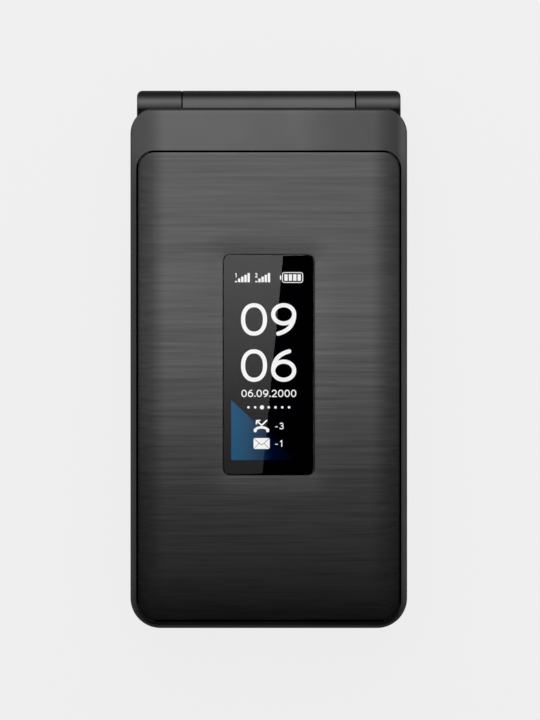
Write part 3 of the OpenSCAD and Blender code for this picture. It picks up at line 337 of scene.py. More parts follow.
def bend(p0, p1, p2, steps=14):
    pts = []
    for i in range(steps + 1):
        t = i / steps
        pts.append(tuple((1 - t) ** 2 * a + 2 * t * (1 - t) * b + t * t * c for a, b, c in zip(p0, p1, p2)))
    return pts


def turned(stroke):
    return [(1 - x, 1 - y) for x, y in stroke]


SIX = [curve(0.5, 0.32, 0.5, 0.32, 0, 360, 32), bend((0.0, 0.34), (0.02, 0.86), (0.76, 1.0))]
SIGNS = {
    "0": [curve(0.5, 0.5, 0.5, 0.5, 0, 360, 40, 0.92)],
    "1": [[(0.18, 0.8), (0.56, 1.0)], [(0.56, 1.0), (0.56, 0.0)]],
    "2": [curve(0.48, 0.70, 0.46, 0.30, 160, -38) + [(0.03, 0.0)], [(0.03, 0.0), (0.98, 0.0)]],
    "3": [curve(0.46, 0.755, 0.42, 0.245, 145, -85), curve(0.46, 0.265, 0.5, 0.265, 88, -148)],
    "4": [[(0.76, 0.0), (0.76, 1.0)], [(0.76, 1.0), (0.0, 0.28)], [(0.0, 0.28), (1.0, 0.28)]],
    "5": [[(0.88, 1.0), (0.14, 1.0)], [(0.14, 1.0), (0.08, 0.56)], curve(0.47, 0.33, 0.5, 0.33, 138, -145)],
    "6": SIX,
    "7": [[(0.0, 1.0), (1.0, 1.0)], [(1.0, 1.0), (0.36, 0.0)]],
    "8": [curve(0.5, 0.765, 0.41, 0.235, 0, 360, 30), curve(0.5, 0.27, 0.5, 0.27, 0, 360, 32)],
    "9": [turned(s) for s in SIX],
    "-": [[(0.2, 0.42), (0.8, 0.42)]],
    "*": [[(0.5, 0.2), (0.5, 0.9)], [(0.18, 0.37), (0.82, 0.73)], [(0.18, 0.73), (0.82, 0.37)]],
    "#": [[(0.24, 0.0), (0.36, 1.0)], [(0.68, 0.0), (0.80, 1.0)], [(0.05, 0.32), (0.95, 0.32)],
          [(0.1, 0.68), (1.0, 0.68)]],
}


class Drawing:
    """Flat strokes and patches gathered into one mesh, each a hair above the one before."""

    def __init__(self):
        self.verts, self.faces, self.layers = [], [], []

    def patch(self, points):
        n = len(self.verts)
        self.verts += list(points)
        self.faces.append(tuple(range(n, n + len(points))))
        self.layers.append(n)

    def stroke(self, path, width):
        """Ribbon along a path, with round ends unless the path is closed."""
        closed = math.dist(path[0], path[-1]) < 1e-6
        if closed:
            path = path[:-1]
        n, base, h = len(path), len(self.verts), width / 2
        self.layers.append(base)
        for i, (x, y) in enumerate(path):
            a = path[i - 1] if i or closed else path[i]
            b = path[(i + 1) % n] if i < n - 1 or closed else path[i]
            dx, dy = b[0] - a[0], b[1] - a[1]
            k = h / (math.hypot(dx, dy) or 1)
            self.verts += [(x - dy * k, y + dx * k), (x + dy * k, y - dx * k)]
        for i in range(n if closed else n - 1):
            j = (i + 1) % n
            self.faces.append((base + 2 * i, base + 2 * i + 1, base + 2 * j + 1, base + 2 * j))
        if not closed:
            self.cap(path[0], path[1], h)
            self.cap(path[-1], path[-2], h)

    def cap(self, end, inner, h):
        a0 = math.atan2(end[1] - inner[1], end[0] - inner[0])
        self.patch([(end[0] + h * math.cos(a0 + t), end[1] + h * math.sin(a0 + t))
                    for t in (math.pi * (k / 8 - 0.5) for k in range(9))])

    def sign(self, key, x0, x1, y0, y1, width):
        """A sign that fills a box, its strokes inside the box."""
        h = width / 2
        for s in SIGNS[key]:
            self.stroke([(x0 + h + (x1 - x0 - width) * u, y0 + h + (y1 - y0 - width) * v)
                         for u, v in s], width)

    def object(self, name, height, material):
        """Places the drawing at a height in mm."""
        verts, layer = [], -1
        for i, (x, y) in enumerate(self.verts):
            while layer + 1 < len(self.layers) and self.layers[layer + 1] <= i:
                layer += 1
            verts.append((x, y, height + 0.0012 * (layer % 8)))
        return make_object(name, verts, self.faces, material, 0)


def photo_mm(px, py):
    """Place on the lid of a pixel of the photograph."""
    return (px - PX_CENTRE[0]) * PX_MM, (PX_CENTRE[1] - py) * PX_MM


def rounded(x0, x1, y0, y1, r):
    pts = []
    for cx, cy, start in ((x1 - r, y0 + r, -90), (x1 - r, y1 - r, 0),
                          (x0 + r, y1 - r, 90), (x0 + r, y0 + r, 180)):
        pts += curve(cx, cy, r, r, start, start + 90, 5)
    return pts


def draw_display():
    """Clock, counters and plain signs of the outer display, in photograph pixels with y downwards."""
    ink, detail = Drawing(), Drawing()

    def box(px0, px1, py0, py1):
        x0, y1 = photo_mm(px0, py0)
        x1, y0 = photo_mm(px1, py1)
        return x0, x1, y0, y1

    def put(key, px0, px1, py0, py1, width_px):
        ink.sign(key, *box(px0, px1, py0, py1), width_px * PX_MM)

    def line(points_px, width_px, layer=ink):
        layer.stroke([photo_mm(*p) for p in points_px], width_px * PX_MM)

    # Two signal meters and a battery meter
    for x, key in ((234.6, "1"), (254.8, "2")):
        put(key, x, x + 2.6, 273.4, 278.0, 0.8)
        for k, height in enumerate((1.3, 3.7, 5.6, 7.4, 9.2)):
            left = x + 0.1 + 3.15 * k
            ink.patch(rounded(*box(left, left + 2.3, 282.7 - height, 282.7), 0.05))
    frame_px = rounded(282.2, 302.3, 273.1, 282.9, 2.0)
    line(frame_px + [frame_px[0]], 0.8)
    line([(280.3, 276.6), (280.3, 279.6)], 1.4)
    for k in range(4):
        left = 284.0 + 4.4 * k
        ink.patch(rounded(*box(left, left + 3.3, 274.8, 281.3), 0.08))
    # Hours over minutes
    for row, pair in ((303.2, "09"), (349.2, "06")):
        for x0, x1, key in ((240.8, 266.8, pair[0]), (270.8, 295.9, pair[1])):
            put(key, x0, x1, row + 0.3, row + 32.8, 4.15)
    # Date, and a row of seven dots for the days of the week
    x = 241.2
    for key in "06.09.2000":
        if key == ".":
            ink.patch([photo_mm(*p) for p in curve(x + 0.6, 396.3, 0.75, 0.75, 0, 330, 11)])
            x += 2.2
        else:
            put(key, x, x + 5.4, 389.8, 397.2, 1.05)
            x += 6.42
    for k in range(7):
        r = 2.1 if k == 2 else 1.25
        ink.patch([photo_mm(*p) for p in curve(248.2 + 6.75 * k, 407.4, r, r, 0, 345, 23)])
    # Missed calls and messages, each with a counter
    line(curve(261.2, 430.9, 6.5, 3.5, 200, 340), 2.5)
    for px in (255.0, 267.4):
        line([(px, 429.9), (px, 430.7)], 3.2)
    line([(266.4, 420.5), (261.4, 425.3)], 1.5)
    line([(261.4, 425.3), (256.4, 420.7)], 1.5)
    line([(256.4, 420.7), (259.6, 420.4)], 1.4)
    line([(256.4, 420.7), (256.2, 423.8)], 1.4)
    ink.patch(rounded(*box(253.3, 269.4, 438.0, 448.9), 0.35))
    line([(254.6, 439.3), (261.3, 445.0)], 0.7, detail)
    line([(268.1, 439.3), (261.3, 445.0)], 0.7, detail)
    line([(254.6, 447.8), (258.9, 443.2)], 0.6, detail)
    line([(268.1, 447.8), (263.8, 443.2)], 0.6, detail)
    for py, key in ((422.5, "3"), (439.9, "1")):
        put("-", 274.2, 278.2, py + 0.5, py + 7.2, 0.85)
        put(key, 279.0, 283.5, py + 0.1, py + 6.9, 0.95)
    return ink, detail


# ------------------------------------------------------------------ material helpers
def new_material(name):
    m = bpy.data.materials.new(name)
    m.use_nodes = True
    nt = m.node_tree
    nt.nodes.clear()
    out = nt.nodes.new("ShaderNodeOutputMaterial")
    shader = nt.nodes.new("ShaderNodeBsdfPrincipled")
    nt.links.new(shader.outputs["BSDF"], out.inputs["Surface"])
    return m, nt, shader


def add(nt, kind, values=None, **props):
    n = nt.nodes.new(kind)
    for k, v in props.items():
        setattr(n, k, v)
    for k, v in (values or {}).items():
        n.inputs[k].default_value = v
    return n


def noise(nt, scale, detail=3.0, stretch=(1, 1, 1), rough=0.55):
    """Noise in object space. The scale is in features per metre."""
    coords = add(nt, "ShaderNodeTexCoord")
    mapping = add(nt, "ShaderNodeMapping", {"Scale": stretch})
    tex = add(nt, "ShaderNodeTexNoise", {"Scale": scale, "Detail": detail, "Roughness": rough})
    nt.links.new(coords.outputs["Object"], mapping.inputs["Vector"])
    nt.links.new(mapping.outputs["Vector"], tex.inputs["Vector"])
    return tex.outputs["Fac"]


def spread(nt, fac, low, high, from_low=0.3, from_high=0.7):
    n = add(nt, "ShaderNodeMapRange", {"From Min": from_low, "From Max": from_high,
                                       "To Min": low, "To Max": high})
    nt.links.new(fac, n.inputs["Value"])
    return n.outputs["Result"]


def mix_colour(nt, fac, a, b):
    n = add(nt, "ShaderNodeMix", data_type="RGBA")
    for socket, value in ((6, a), (7, b)):
        if isinstance(value, bpy.types.NodeSocket):
            nt.links.new(value, n.inputs[socket])
        else:
            n.inputs[socket].default_value = (*value, 1)
    if isinstance(fac, bpy.types.NodeSocket):
        nt.links.new(fac, n.inputs[0])
    else:
        n.inputs[0].default_value = fac
    return n.outputs[2]


def bump(nt, shader, height, strength, distance_mm):
    n = add(nt, "ShaderNodeBump", {"Strength": strength, "Distance": distance_mm * MM})
    nt.links.new(height, n.inputs["Height"])
    nt.links.new(n.outputs["Normal"], shader.inputs["Normal"])


def grey(v):
    return (v, v, v)


def surface(name, dark, light, rough, grain=2500.0, patch=120.0, depth=0.006, metallic=0.0, stretch=(1, 1, 1),
            gloss=0.5):
    """Finish with two scales of colour variation, uneven gloss and a fine grain."""
    m, nt, s = new_material(name)
    s.inputs["Specular IOR Level"].default_value = gloss
    broad = noise(nt, patch, 4, stretch)
    fine = noise(nt, grain, 2, stretch)
    base = mix_colour(nt, spread(nt, broad, 0, 1), dark, light)
    base = mix_colour(nt, spread(nt, fine, 0, 0.35), base, tuple(c * 0.8 for c in dark))
    nt.links.new(base, s.inputs["Base Color"])
    nt.links.new(spread(nt, broad, rough[0], rough[1]), s.inputs["Roughness"])
    s.inputs["Metallic"].default_value = metallic
    bump(nt, s, fine, 0.5, depth)
    return m


def fade(nt, axis, stops):
    """Grey that changes along an axis of the phone. The stops are (place in mm, value)."""
    coords = add(nt, "ShaderNodeTexCoord")
    split = add(nt, "ShaderNodeSeparateXYZ")
    nt.links.new(coords.outputs["Object"], split.inputs["Vector"])
    node = add(nt, "ShaderNodeValToRGB")
    lo, hi = stops[0][0], stops[-1][0]
    nt.links.new(spread(nt, split.outputs[axis], 0, 1, lo * MM, hi * MM), node.inputs["Fac"])
    ramp = node.color_ramp
    while len(ramp.elements) < len(stops):
        ramp.elements.new(0.5)
    for e, (place, v) in zip(ramp.elements, stops):
        e.position = (place - lo) / (hi - lo)
        e.color = (v, v, v * 1.005, 1)
    return node.outputs["Color"]


def times(nt, a, b):
    n = add(nt, "ShaderNodeMix", {0: 1.0}, data_type="RGBA", blend_type="MULTIPLY")
    nt.links.new(a, n.inputs[6])
    nt.links.new(b, n.inputs[7])
    return n.outputs[2]


def satin_shell(name, stops, across=None, rough=(0.36, 0.44), gloss=0.3, wall=1.0):
    """Satin paint finish with a very fine grain. Its grey along Y and across X is painted light and shade,
    and the walls, where the face turns away from up, are darker with painted shade and more matt.
    """
    m, nt, s = new_material(name)
    broad = noise(nt, 70, 4)
    fine = noise(nt, 3400, 2)
    tone = fade(nt, "Y", stops)
    if across:
        tone = times(nt, tone, fade(nt, "X", across))
    coords = add(nt, "ShaderNodeTexCoord")
    split = add(nt, "ShaderNodeSeparateXYZ")
    nt.links.new(coords.outputs["Normal"], split.inputs["Vector"])
    # Painted shade: faces that turn away from up take the wall factor on their colour
    up = spread(nt, split.outputs["Z"], 0, 1, 0.36, 0.62)
    tone = times(nt, tone, mix_colour(nt, up, grey(wall), grey(1.0)))
    base = mix_colour(nt, spread(nt, broad, 0, 0.12), tone, grey(0.004))
    base = mix_colour(nt, spread(nt, fine, 0, 0.10), base, grey(0.004))
    nt.links.new(base, s.inputs["Base Color"])
    matt = add(nt, "ShaderNodeMix", {2: 0.6}, data_type="FLOAT")
    nt.links.new(up, matt.inputs[0])
    nt.links.new(spread(nt, broad, rough[0], rough[1]), matt.inputs[3])
    nt.links.new(matt.outputs[0], s.inputs["Roughness"])
    s.inputs["Specular IOR Level"].default_value = gloss
    bump(nt, s, fine, 0.4, 0.004)
    return m


# Painted light and shade of the finishes along Y and across X, as (place in mm, value)
# Painted light on the panel: lighter towards the hinge end, darker at the free end and on the curved sides
PANEL_PAINTED_LIGHT_ALONG = (
    (-54, 0.0013), (-52, 0.002), (-49.7, 0.0065), (-47.7, 0.0100), (-45.6, 0.0175), (-41.5, 0.0285),
    (-37.3, 0.036), (-29, 0.052), (-18.7, 0.083), (-8.5, 0.114), (2, 0.139), (12, 0.143),
    (22.6, 0.134), (33, 0.132), (40, 0.132))
PANEL_PAINTED_LIGHT_ACROSS = (
    (-27.2, 0.45), (-26.5, 0.42), (-25.3, 0.41), (-24.6, 0.44), (-24, 0.475), (-23.4, 0.61),
    (-22.8, 0.72), (-22.2, 0.85), (-21.6, 0.96), (-20.8, 1.0), (6, 1.0), (20.8, 0.96), (21.4, 0.91),
    (22.2, 0.79), (23.1, 0.605), (23.9, 0.47), (24.7, 0.38), (25.5, 0.345), (26.4, 0.34), (27.2, 0.36))
# Painted light on the lid's shell: lighter towards the hinge end with a painted dark line at that end, a dark
# rounded free end with a painted bright line on its end wall, painted shade on the curved sides, lighter
# again at the outer edges
SHELL_PAINTED_LIGHT_ALONG = (
    (-55.4, 0.050), (-55.2, 0.050), (-54.8, 0.004), (-54, 0.005), (-50.5, 0.045), (-45, 0.066),
    (-30, 0.080), (0, 0.086), (30, 0.088), (38, 0.104), (43, 0.146), (51.15, 0.152), (51.4, 0.001))
SHELL_PAINTED_LIGHT_ACROSS = (
    (-28.5, 0.68), (-27.6, 0.66), (-26.5, 0.60), (-25.3, 0.575), (-24, 0.635), (-23.4, 0.725),
    (-22.8, 0.82), (-22.2, 0.92), (-21.5, 1.0), (6, 1.0), (11, 0.79), (14, 0.72), (21.3, 0.71),
    (22.2, 0.66), (23.1, 0.53), (23.9, 0.455), (24.7, 0.405), (25.5, 0.36), (26.4, 0.36),
    (26.9, 0.54), (27.6, 0.81), (28.5, 0.88))
# Painted light on the lid's inner frame and barrel: slightly lighter towards the hinge, a painted dark line
# in the gap by the lid's edge, a painted highlight on the barrel that falls off dark towards its far side,
# and a thin painted bright line near its far edge
FRAME_PAINTED_LIGHT_ALONG = (
    (-55, 0.012), (44, 0.016), (50, 0.030), (51.73, 0.0005), (51.88, 0.148), (53.3, 0.145),
    (53.6, 0.108), (53.9, 0.062), (54.25, 0.010), (54.6, 0.0005), (54.96, 0.0005), (55.0, 0.050),
    (55.15, 0.050), (55.2, 0.0005), (55.4, 0.0005))
# Painted light on the deck's knuckles: painted shade under the lid's edge, a painted highlight, and dark
# again towards their far side
DECK_PAINTED_LIGHT_ALONG = (
    (-55, 0.012), (50, 0.012), (51.76, 0.0005), (51.92, 0.050), (52.6, 0.110), (53.0, 0.150),
    (53.3, 0.145), (53.6, 0.098), (53.9, 0.060), (54.25, 0.010), (54.6, 0.0005), (55.4, 0.0005))


def brushed_panel_painted_light():
    """Dark metal film, brushed across the phone, with painted light: lighter towards the hinge end, darker at
    the free end and on the curved sides.
    """
    m, nt, s = new_material("brushed_panel_painted_light")
    along = fade(nt, "Y", PANEL_PAINTED_LIGHT_ALONG)
    across = fade(nt, "X", PANEL_PAINTED_LIGHT_ACROSS)
    streaks = noise(nt, 900, 6, (0.035, 1.45, 1), 0.7)
    depth = add(nt, "ShaderNodeMath", operation="MULTIPLY")
    nt.links.new(spread(nt, streaks, 0, 1), depth.inputs[0])
    nt.links.new(fade(nt, "Y", ((-54, 0.70), (-20, 0.56), (10, 0.38), (43, 0.32))), depth.inputs[1])
    fine = noise(nt, 2600, 2, (0.05, 2.4, 1), 0.5)
    shade = mix_colour(nt, depth.outputs[0], times(nt, along, across), grey(0.001))
    shade = mix_colour(nt, spread(nt, fine, 0, 0.03), shade, grey(0.25))
    nt.links.new(shade, s.inputs["Base Color"])
    nt.links.new(spread(nt, streaks, 0.34, 0.46), s.inputs["Roughness"])
    s.inputs["Metallic"].default_value = 0.5
    s.inputs["Specular IOR Level"].default_value = 0.25
    bump(nt, s, streaks, 0.3, 0.003)
    return m


def glass(name, tint=(0.96, 0.97, 0.97)):
    """Clear polished glass with a faint smear."""
    m, nt, s = new_material(name)
    s.inputs["Transmission Weight"].default_value = 1.0
    s.inputs["IOR"].default_value = 1.52
    smear = noise(nt, 90, 3)
    nt.links.new(mix_colour(nt, smear, tuple(c * 0.97 for c in tint), tint), s.inputs["Base Color"])
    nt.links.new(spread(nt, smear, 0.0, 0.002), s.inputs["Roughness"])
    return m


def lamp_ink(name, colour, strength):
    """Lit sign of a display, with the display's fine lines of pixels."""
    m, nt, s = new_material(name)
    s.inputs["Base Color"].default_value = (0.02, 0.02, 0.02, 1)
    s.inputs["Roughness"].default_value = 0.6
    s.inputs["Specular IOR Level"].default_value = 0.0
    s.inputs["Emission Color"].default_value = (*colour, 1)
    coords = add(nt, "ShaderNodeTexCoord")
    rows = add(nt, "ShaderNodeTexWave", {"Scale": 1500.0}, bands_direction="Y")
    nt.links.new(coords.outputs["Object"], rows.inputs["Vector"])
    level = spread(nt, rows.outputs["Fac"], strength * 0.97, strength, 0, 1)
    nt.links.new(level, s.inputs["Emission Strength"])
    return m


def display_picture():
    """Black picture with a blue corner that fades across it."""
    m, nt, s = new_material("display_picture")
    s.inputs["Base Color"].default_value = (0.0006, 0.0006, 0.0008, 1)
    s.inputs["Roughness"].default_value = 0.5
    s.inputs["Specular IOR Level"].default_value = 0.0
    coords = add(nt, "ShaderNodeTexCoord")
    split = add(nt, "ShaderNodeSeparateXYZ")
    nt.links.new(coords.outputs["Object"], split.inputs["Vector"])
    slope = add(nt, "ShaderNodeMath", {1: -0.93}, operation="MULTIPLY")
    nt.links.new(split.outputs["X"], slope.inputs[0])
    under = add(nt, "ShaderNodeMath", operation="SUBTRACT")
    nt.links.new(slope.outputs[0], under.inputs[0])
    nt.links.new(split.outputs["Y"], under.inputs[1])
    edge = (8.42 + 7.74 * 0.93) * MM
    inside = spread(nt, under.outputs[0], 0, 1, edge - 0.05 * MM, edge + 0.05 * MM)
    across = spread(nt, split.outputs["X"], 0, 1, -7.74 * MM, 5.5 * MM)
    tone = add(nt, "ShaderNodeValToRGB")
    nt.links.new(across, tone.inputs["Fac"])
    stops = ((0, (0, 0.073, 0.168)), (0.22, (0, 0.058, 0.138)), (0.42, (0, 0.027, 0.078)),
             (0.62, (0, 0.002, 0.015)), (1, (0, 0, 0.001)))
    ramp = tone.color_ramp
    while len(ramp.elements) < len(stops):
        ramp.elements.new(0.5)
    for e, (at, c) in zip(ramp.elements, stops):
        e.position, e.color = at, (*c, 1)
    nt.links.new(mix_colour(nt, inside, (0, 0, 0.0004), tone.outputs["Color"]), s.inputs["Emission Color"])
    s.inputs["Emission Strength"].default_value = 1.0
    return m


# ------------------------------------------------------------------ CAD nodes
def smooth_group(angle):
    """Geometry nodes that shade smooth and keep edges over an angle sharp."""
    name = "smooth_%d" % angle
    if name in bpy.data.node_groups:
        return bpy.data.node_groups[name]
    g = bpy.data.node_groups.new(name, "GeometryNodeTree")
    g.interface.new_socket("Geometry", in_out="INPUT", socket_type="NodeSocketGeometry")
    g.interface.new_socket("Geometry", in_out="OUTPUT", socket_type="NodeSocketGeometry")
    inp, out = g.nodes.new("NodeGroupInput"), g.nodes.new("NodeGroupOutput")
    faces = g.nodes.new("GeometryNodeSetShadeSmooth")
    faces.domain = "FACE"
    edges = g.nodes.new("GeometryNodeSetShadeSmooth")
    edges.domain = "EDGE"
    edges.inputs["Shade Smooth"].default_value = False
    edge_angle = g.nodes.new("GeometryNodeInputMeshEdgeAngle")
    over = g.nodes.new("FunctionNodeCompare")
    over.data_type, over.operation = "FLOAT", "GREATER_THAN"
    over.inputs[1].default_value = math.radians(angle)
    g.links.new(inp.outputs[0], faces.inputs["Geometry"])
    g.links.new(faces.outputs["Geometry"], edges.inputs["Geometry"])
    g.links.new(edge_angle.outputs["Unsigned Angle"], over.inputs[0])
    g.links.new(over.outputs["Result"], edges.inputs["Selection"])
    g.links.new(edges.outputs["Geometry"], out.inputs[0])
    return g


def dress(node, material, round_mm=0.0, angle=32):
    """Finish of a CAD node: its material, smooth curved faces and, where asked, rounded edges."""
    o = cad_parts[node]
    o.data.materials.clear()
    o.data.materials.append(material)
    weld = o.modifiers.new("weld", "WELD")
    weld.merge_threshold = 0.002 * MM
    if round_mm:
        flat = o.modifiers.new("flat", "DECIMATE")
        flat.decimate_type = "DISSOLVE"
        flat.angle_limit = math.radians(0.4)
        edge = o.modifiers.new("edge", "BEVEL")
        edge.width = round_mm * MM
        edge.segments = 2
        edge.limit_method = "ANGLE"
        edge.angle_limit = math.radians(angle)
        edge.use_clamp_overlap = True
    smooth = o.modifiers.new("smooth", "NODES")
    smooth.node_group = smooth_group(angle)
    return o


# ------------------------------------------------------------------ studio
def plane(name, corners, material):
    obj = make_object(name, [tuple(c) for c in corners], [(0, 1, 2, 3)], material, 0)
    return obj


def seen_rays(nt):
    """1 for what the camera sees, directly, in gloss or through glass, and 0 for light on the object."""
    rays = add(nt, "ShaderNodeLightPath")
    seen = rays.outputs["Is Camera Ray"]
    for name in ("Is Glossy Ray", "Is Transmission Ray"):
        either = add(nt, "ShaderNodeMath", operation="MAXIMUM")
        nt.links.new(seen, either.inputs[0])
        nt.links.new(rays.outputs[name], either.inputs[1])
        seen = either.outputs[0]
    return seen


def floor_material():
    """Floor that is pale and even to the camera, with the object's shadow, and dim to the object."""
    m, nt, s = new_material("floor")
    s.inputs["Roughness"].default_value = 0.9
    s.inputs["Specular IOR Level"].default_value = 0.0
    seen = seen_rays(nt)
    nt.links.new(mix_colour(nt, seen, grey(DIM_FLOOR), grey(PALE)), s.inputs["Base Color"])
    share = add(nt, "ShaderNodeMath", {1: 0.94}, operation="MULTIPLY")
    nt.links.new(seen, share.inputs[0])
    glow = add(nt, "ShaderNodeEmission", {"Color": (PALE, PALE, PALE, 1), "Strength": 1.015})
    mix = add(nt, "ShaderNodeMixShader")
    nt.links.new(share.outputs[0], mix.inputs[0])
    nt.links.new(s.outputs[0], mix.inputs[1])
    nt.links.new(glow.outputs[0], mix.inputs[2])
    out = next(n for n in nt.nodes if n.type == "OUTPUT_MATERIAL")
    nt.links.new(mix.outputs[0], out.inputs["Surface"])
    return m


def card_material(name, stops):
    """Softbox face whose light fades along Y. The stops are (y in mm, strength up to 2)."""
    m, nt, s = new_material(name)
    nt.nodes.remove(s)
    glow = add(nt, "ShaderNodeEmission", {"Strength": 2.0})
    nt.links.new(fade(nt, "Y", [(y, v / 2) for y, v in stops]), glow.inputs["Color"])
    out = next(n for n in nt.nodes if n.type == "OUTPUT_MATERIAL")
    nt.links.new(glow.outputs[0], out.inputs["Surface"])
    return m


CARD_H = 0.40                # height of the overhead softboxes above the lens, in metres
CARD_Y0, CARD_Y1, CARD_OUT = -260.0, 330.0, 330.0
GLARE_X, GLARE_SLOPE = 0.92, 0.0947    # edge of the glare in the lens, in mm at Y = 0 and per mm of Y
LEFT_CARD = ((-260, 0.40), (-60, 0.30), (-25, 0.42), (-10, 0.72), (2, 1.12), (24, 1.78), (34, 1.95),
             (330, 1.95))
RIGHT_CARD = ((-260, 0.5), (-100, 0.5), (60, 1.5), (330, 1.5))


def make_studio():
    floor = plane("floor", [(-4000, -4000, 0), (4000, -4000, 0), (4000, 4000, 0), (-4000, 4000, 0)],
                  floor_material())
    floor.location.z = -0.00002
    # Overhead softboxes on the left, whose slanting edge shows in the lens, and on the right
    k = 1 + CARD_H / (SPAN * FOCAL / SENSOR)
    z = TOP_Z + CARD_H / MM
    edge = lambda y: (GLARE_X + GLARE_SLOPE * (y / k)) * k
    left = plane("softbox_left", [(-CARD_OUT, CARD_Y0, z), (edge(CARD_Y0), CARD_Y0, z),
                                  (edge(CARD_Y1), CARD_Y1, z), (-CARD_OUT, CARD_Y1, z)],
                 card_material("softbox_left", LEFT_CARD))
    right = plane("softbox_right", [(48, CARD_Y0, z), (CARD_OUT, CARD_Y0, z), (CARD_OUT, CARD_Y1, z),
                                    (66, CARD_Y1, z)], card_material("softbox_right", RIGHT_CARD))
    for card in (left, right):
        card.visible_camera = False
        card.visible_shadow = False
    # Long softbox behind the hinge end, for the barrel
    data = bpy.data.lights.new("softbox_back", "AREA")
    data.shape, data.size, data.size_y = "RECTANGLE", 0.7, 0.34
    data.energy = 1.5
    back = bpy.data.objects.new("softbox_back", data)
    back.location = (0, 0.50, 0.32)
    back.rotation_euler = (Vector((0, 0.05, 0.012)) - back.location).to_track_quat("-Z", "Y").to_euler()
    back.visible_camera = False
    bpy.context.scene.collection.objects.link(back)
    make_world()


def make_world():
    """Pale all round to the camera, dimmer to the object, dark overhead."""
    world = bpy.data.worlds.new("studio")
    bpy.context.scene.world = world
    world.use_nodes = True
    nt = world.node_tree
    nt.nodes.clear()
    coords = add(nt, "ShaderNodeTexCoord")
    split = add(nt, "ShaderNodeSeparateXYZ")
    nt.links.new(coords.outputs["Generated"], split.inputs["Vector"])
    pale = spread(nt, split.outputs["Z"], PALE, 0.002, 0.10, 0.50)
    dim = spread(nt, split.outputs["Z"], 0.42, 0.002, 0.80, 0.93)
    level = add(nt, "ShaderNodeMix", data_type="FLOAT")
    nt.links.new(seen_rays(nt), level.inputs[0])
    nt.links.new(dim, level.inputs[2])
    nt.links.new(pale, level.inputs[3])
    sky = add(nt, "ShaderNodeBackground")
    nt.links.new(level.outputs[0], sky.inputs["Strength"])
    out = add(nt, "ShaderNodeOutputWorld")
    nt.links.new(sky.outputs[0], out.inputs["Surface"])
    bpy.context.scene.view_settings.view_transform = "Standard"


# ------------------------------------------------------------------ the phone
KEY_SIGNS = {"key_star": "*", "key_0": "0", "key_hash": "#", **{"key_%d" % k: str(k) for k in range(1, 10)}}


def add_piece(obj, body, slot=None, *nodes):
    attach(obj, body)
    if nodes:
        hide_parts(*nodes)
    return obj


def key_centre(node):
    lo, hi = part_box(node)
    return (lo.x + hi.x) / 2 / MM, (lo.y + hi.y) / 2 / MM, hi.z / MM


def make_key_signs(white, green, red, dim):
    """Printed signs on the keys."""
    lift_off = 0.012
    for node, key in KEY_SIGNS.items():
        cx, cy, z = key_centre(node)
        d = Drawing()
        wide, thick = (1.8, 0.36) if key in "*#" else (1.35, 0.5)
        d.sign(key, cx - wide, cx + wide, cy - 2.0, cy + 2.0, thick)
        add_piece(d.object("sign_" + node, z + lift_off, white), node)
    for node in ("soft_left", "soft_right"):
        cx, cy, z = key_centre(node)
        d = Drawing()
        d.stroke([(cx - 1.5, cy), (cx + 1.5, cy)], 0.55)
        add_piece(d.object("sign_" + node, z + lift_off, white), node)
    for node, ink, start in (("call_key", green, 0), ("end_key", red, 1)):
        cx, cy, z = key_centre(node)
        d = Drawing()
        arch = curve(cx, cy - 1.1, 2.2, 1.7, 160, 20)
        d.stroke(arch, 0.9)
        for x in (cx - 2.0, cx + 2.0):
            d.stroke([(x, cy - 0.6), (x, cy - 0.95)], 1.25)
        if not start:
            turn = math.radians(-52)
            d.verts = [(cx + (x - cx) * math.cos(turn) + (y - cy) * math.sin(turn),
                        cy - (x - cx) * math.sin(turn) + (y - cy) * math.cos(turn)) for x, y in d.verts]
        add_piece(d.object("sign_" + node, z + lift_off, ink), node)
    cx, cy, z = key_centre("ok_key")
    d = Drawing()
    d.stroke(curve(cx, cy, 1.5, 1.5, 0, 360, 36), 0.45)
    add_piece(d.object("sign_ok_key", z + lift_off, white), "ok_key")
    lo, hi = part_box("nav_ring")
    cx, cy, z = (lo.x + hi.x) / 2 / MM, (lo.y + hi.y) / 2 / MM, hi.z / MM
    d = Drawing()
    for a in range(0, 360, 90):
        c, s = math.cos(math.radians(a)), math.sin(math.radians(a))
        tip, wing = 10.0, 0.9
        pts = [(tip, 0), (tip - 1.1, wing), (tip - 1.1, -wing)]
        d.patch([(cx + x * c - y * s, cy + x * s + y * c) for x, y in pts])
    add_piece(d.object("sign_nav_ring", z + lift_off, dim), "nav_ring")


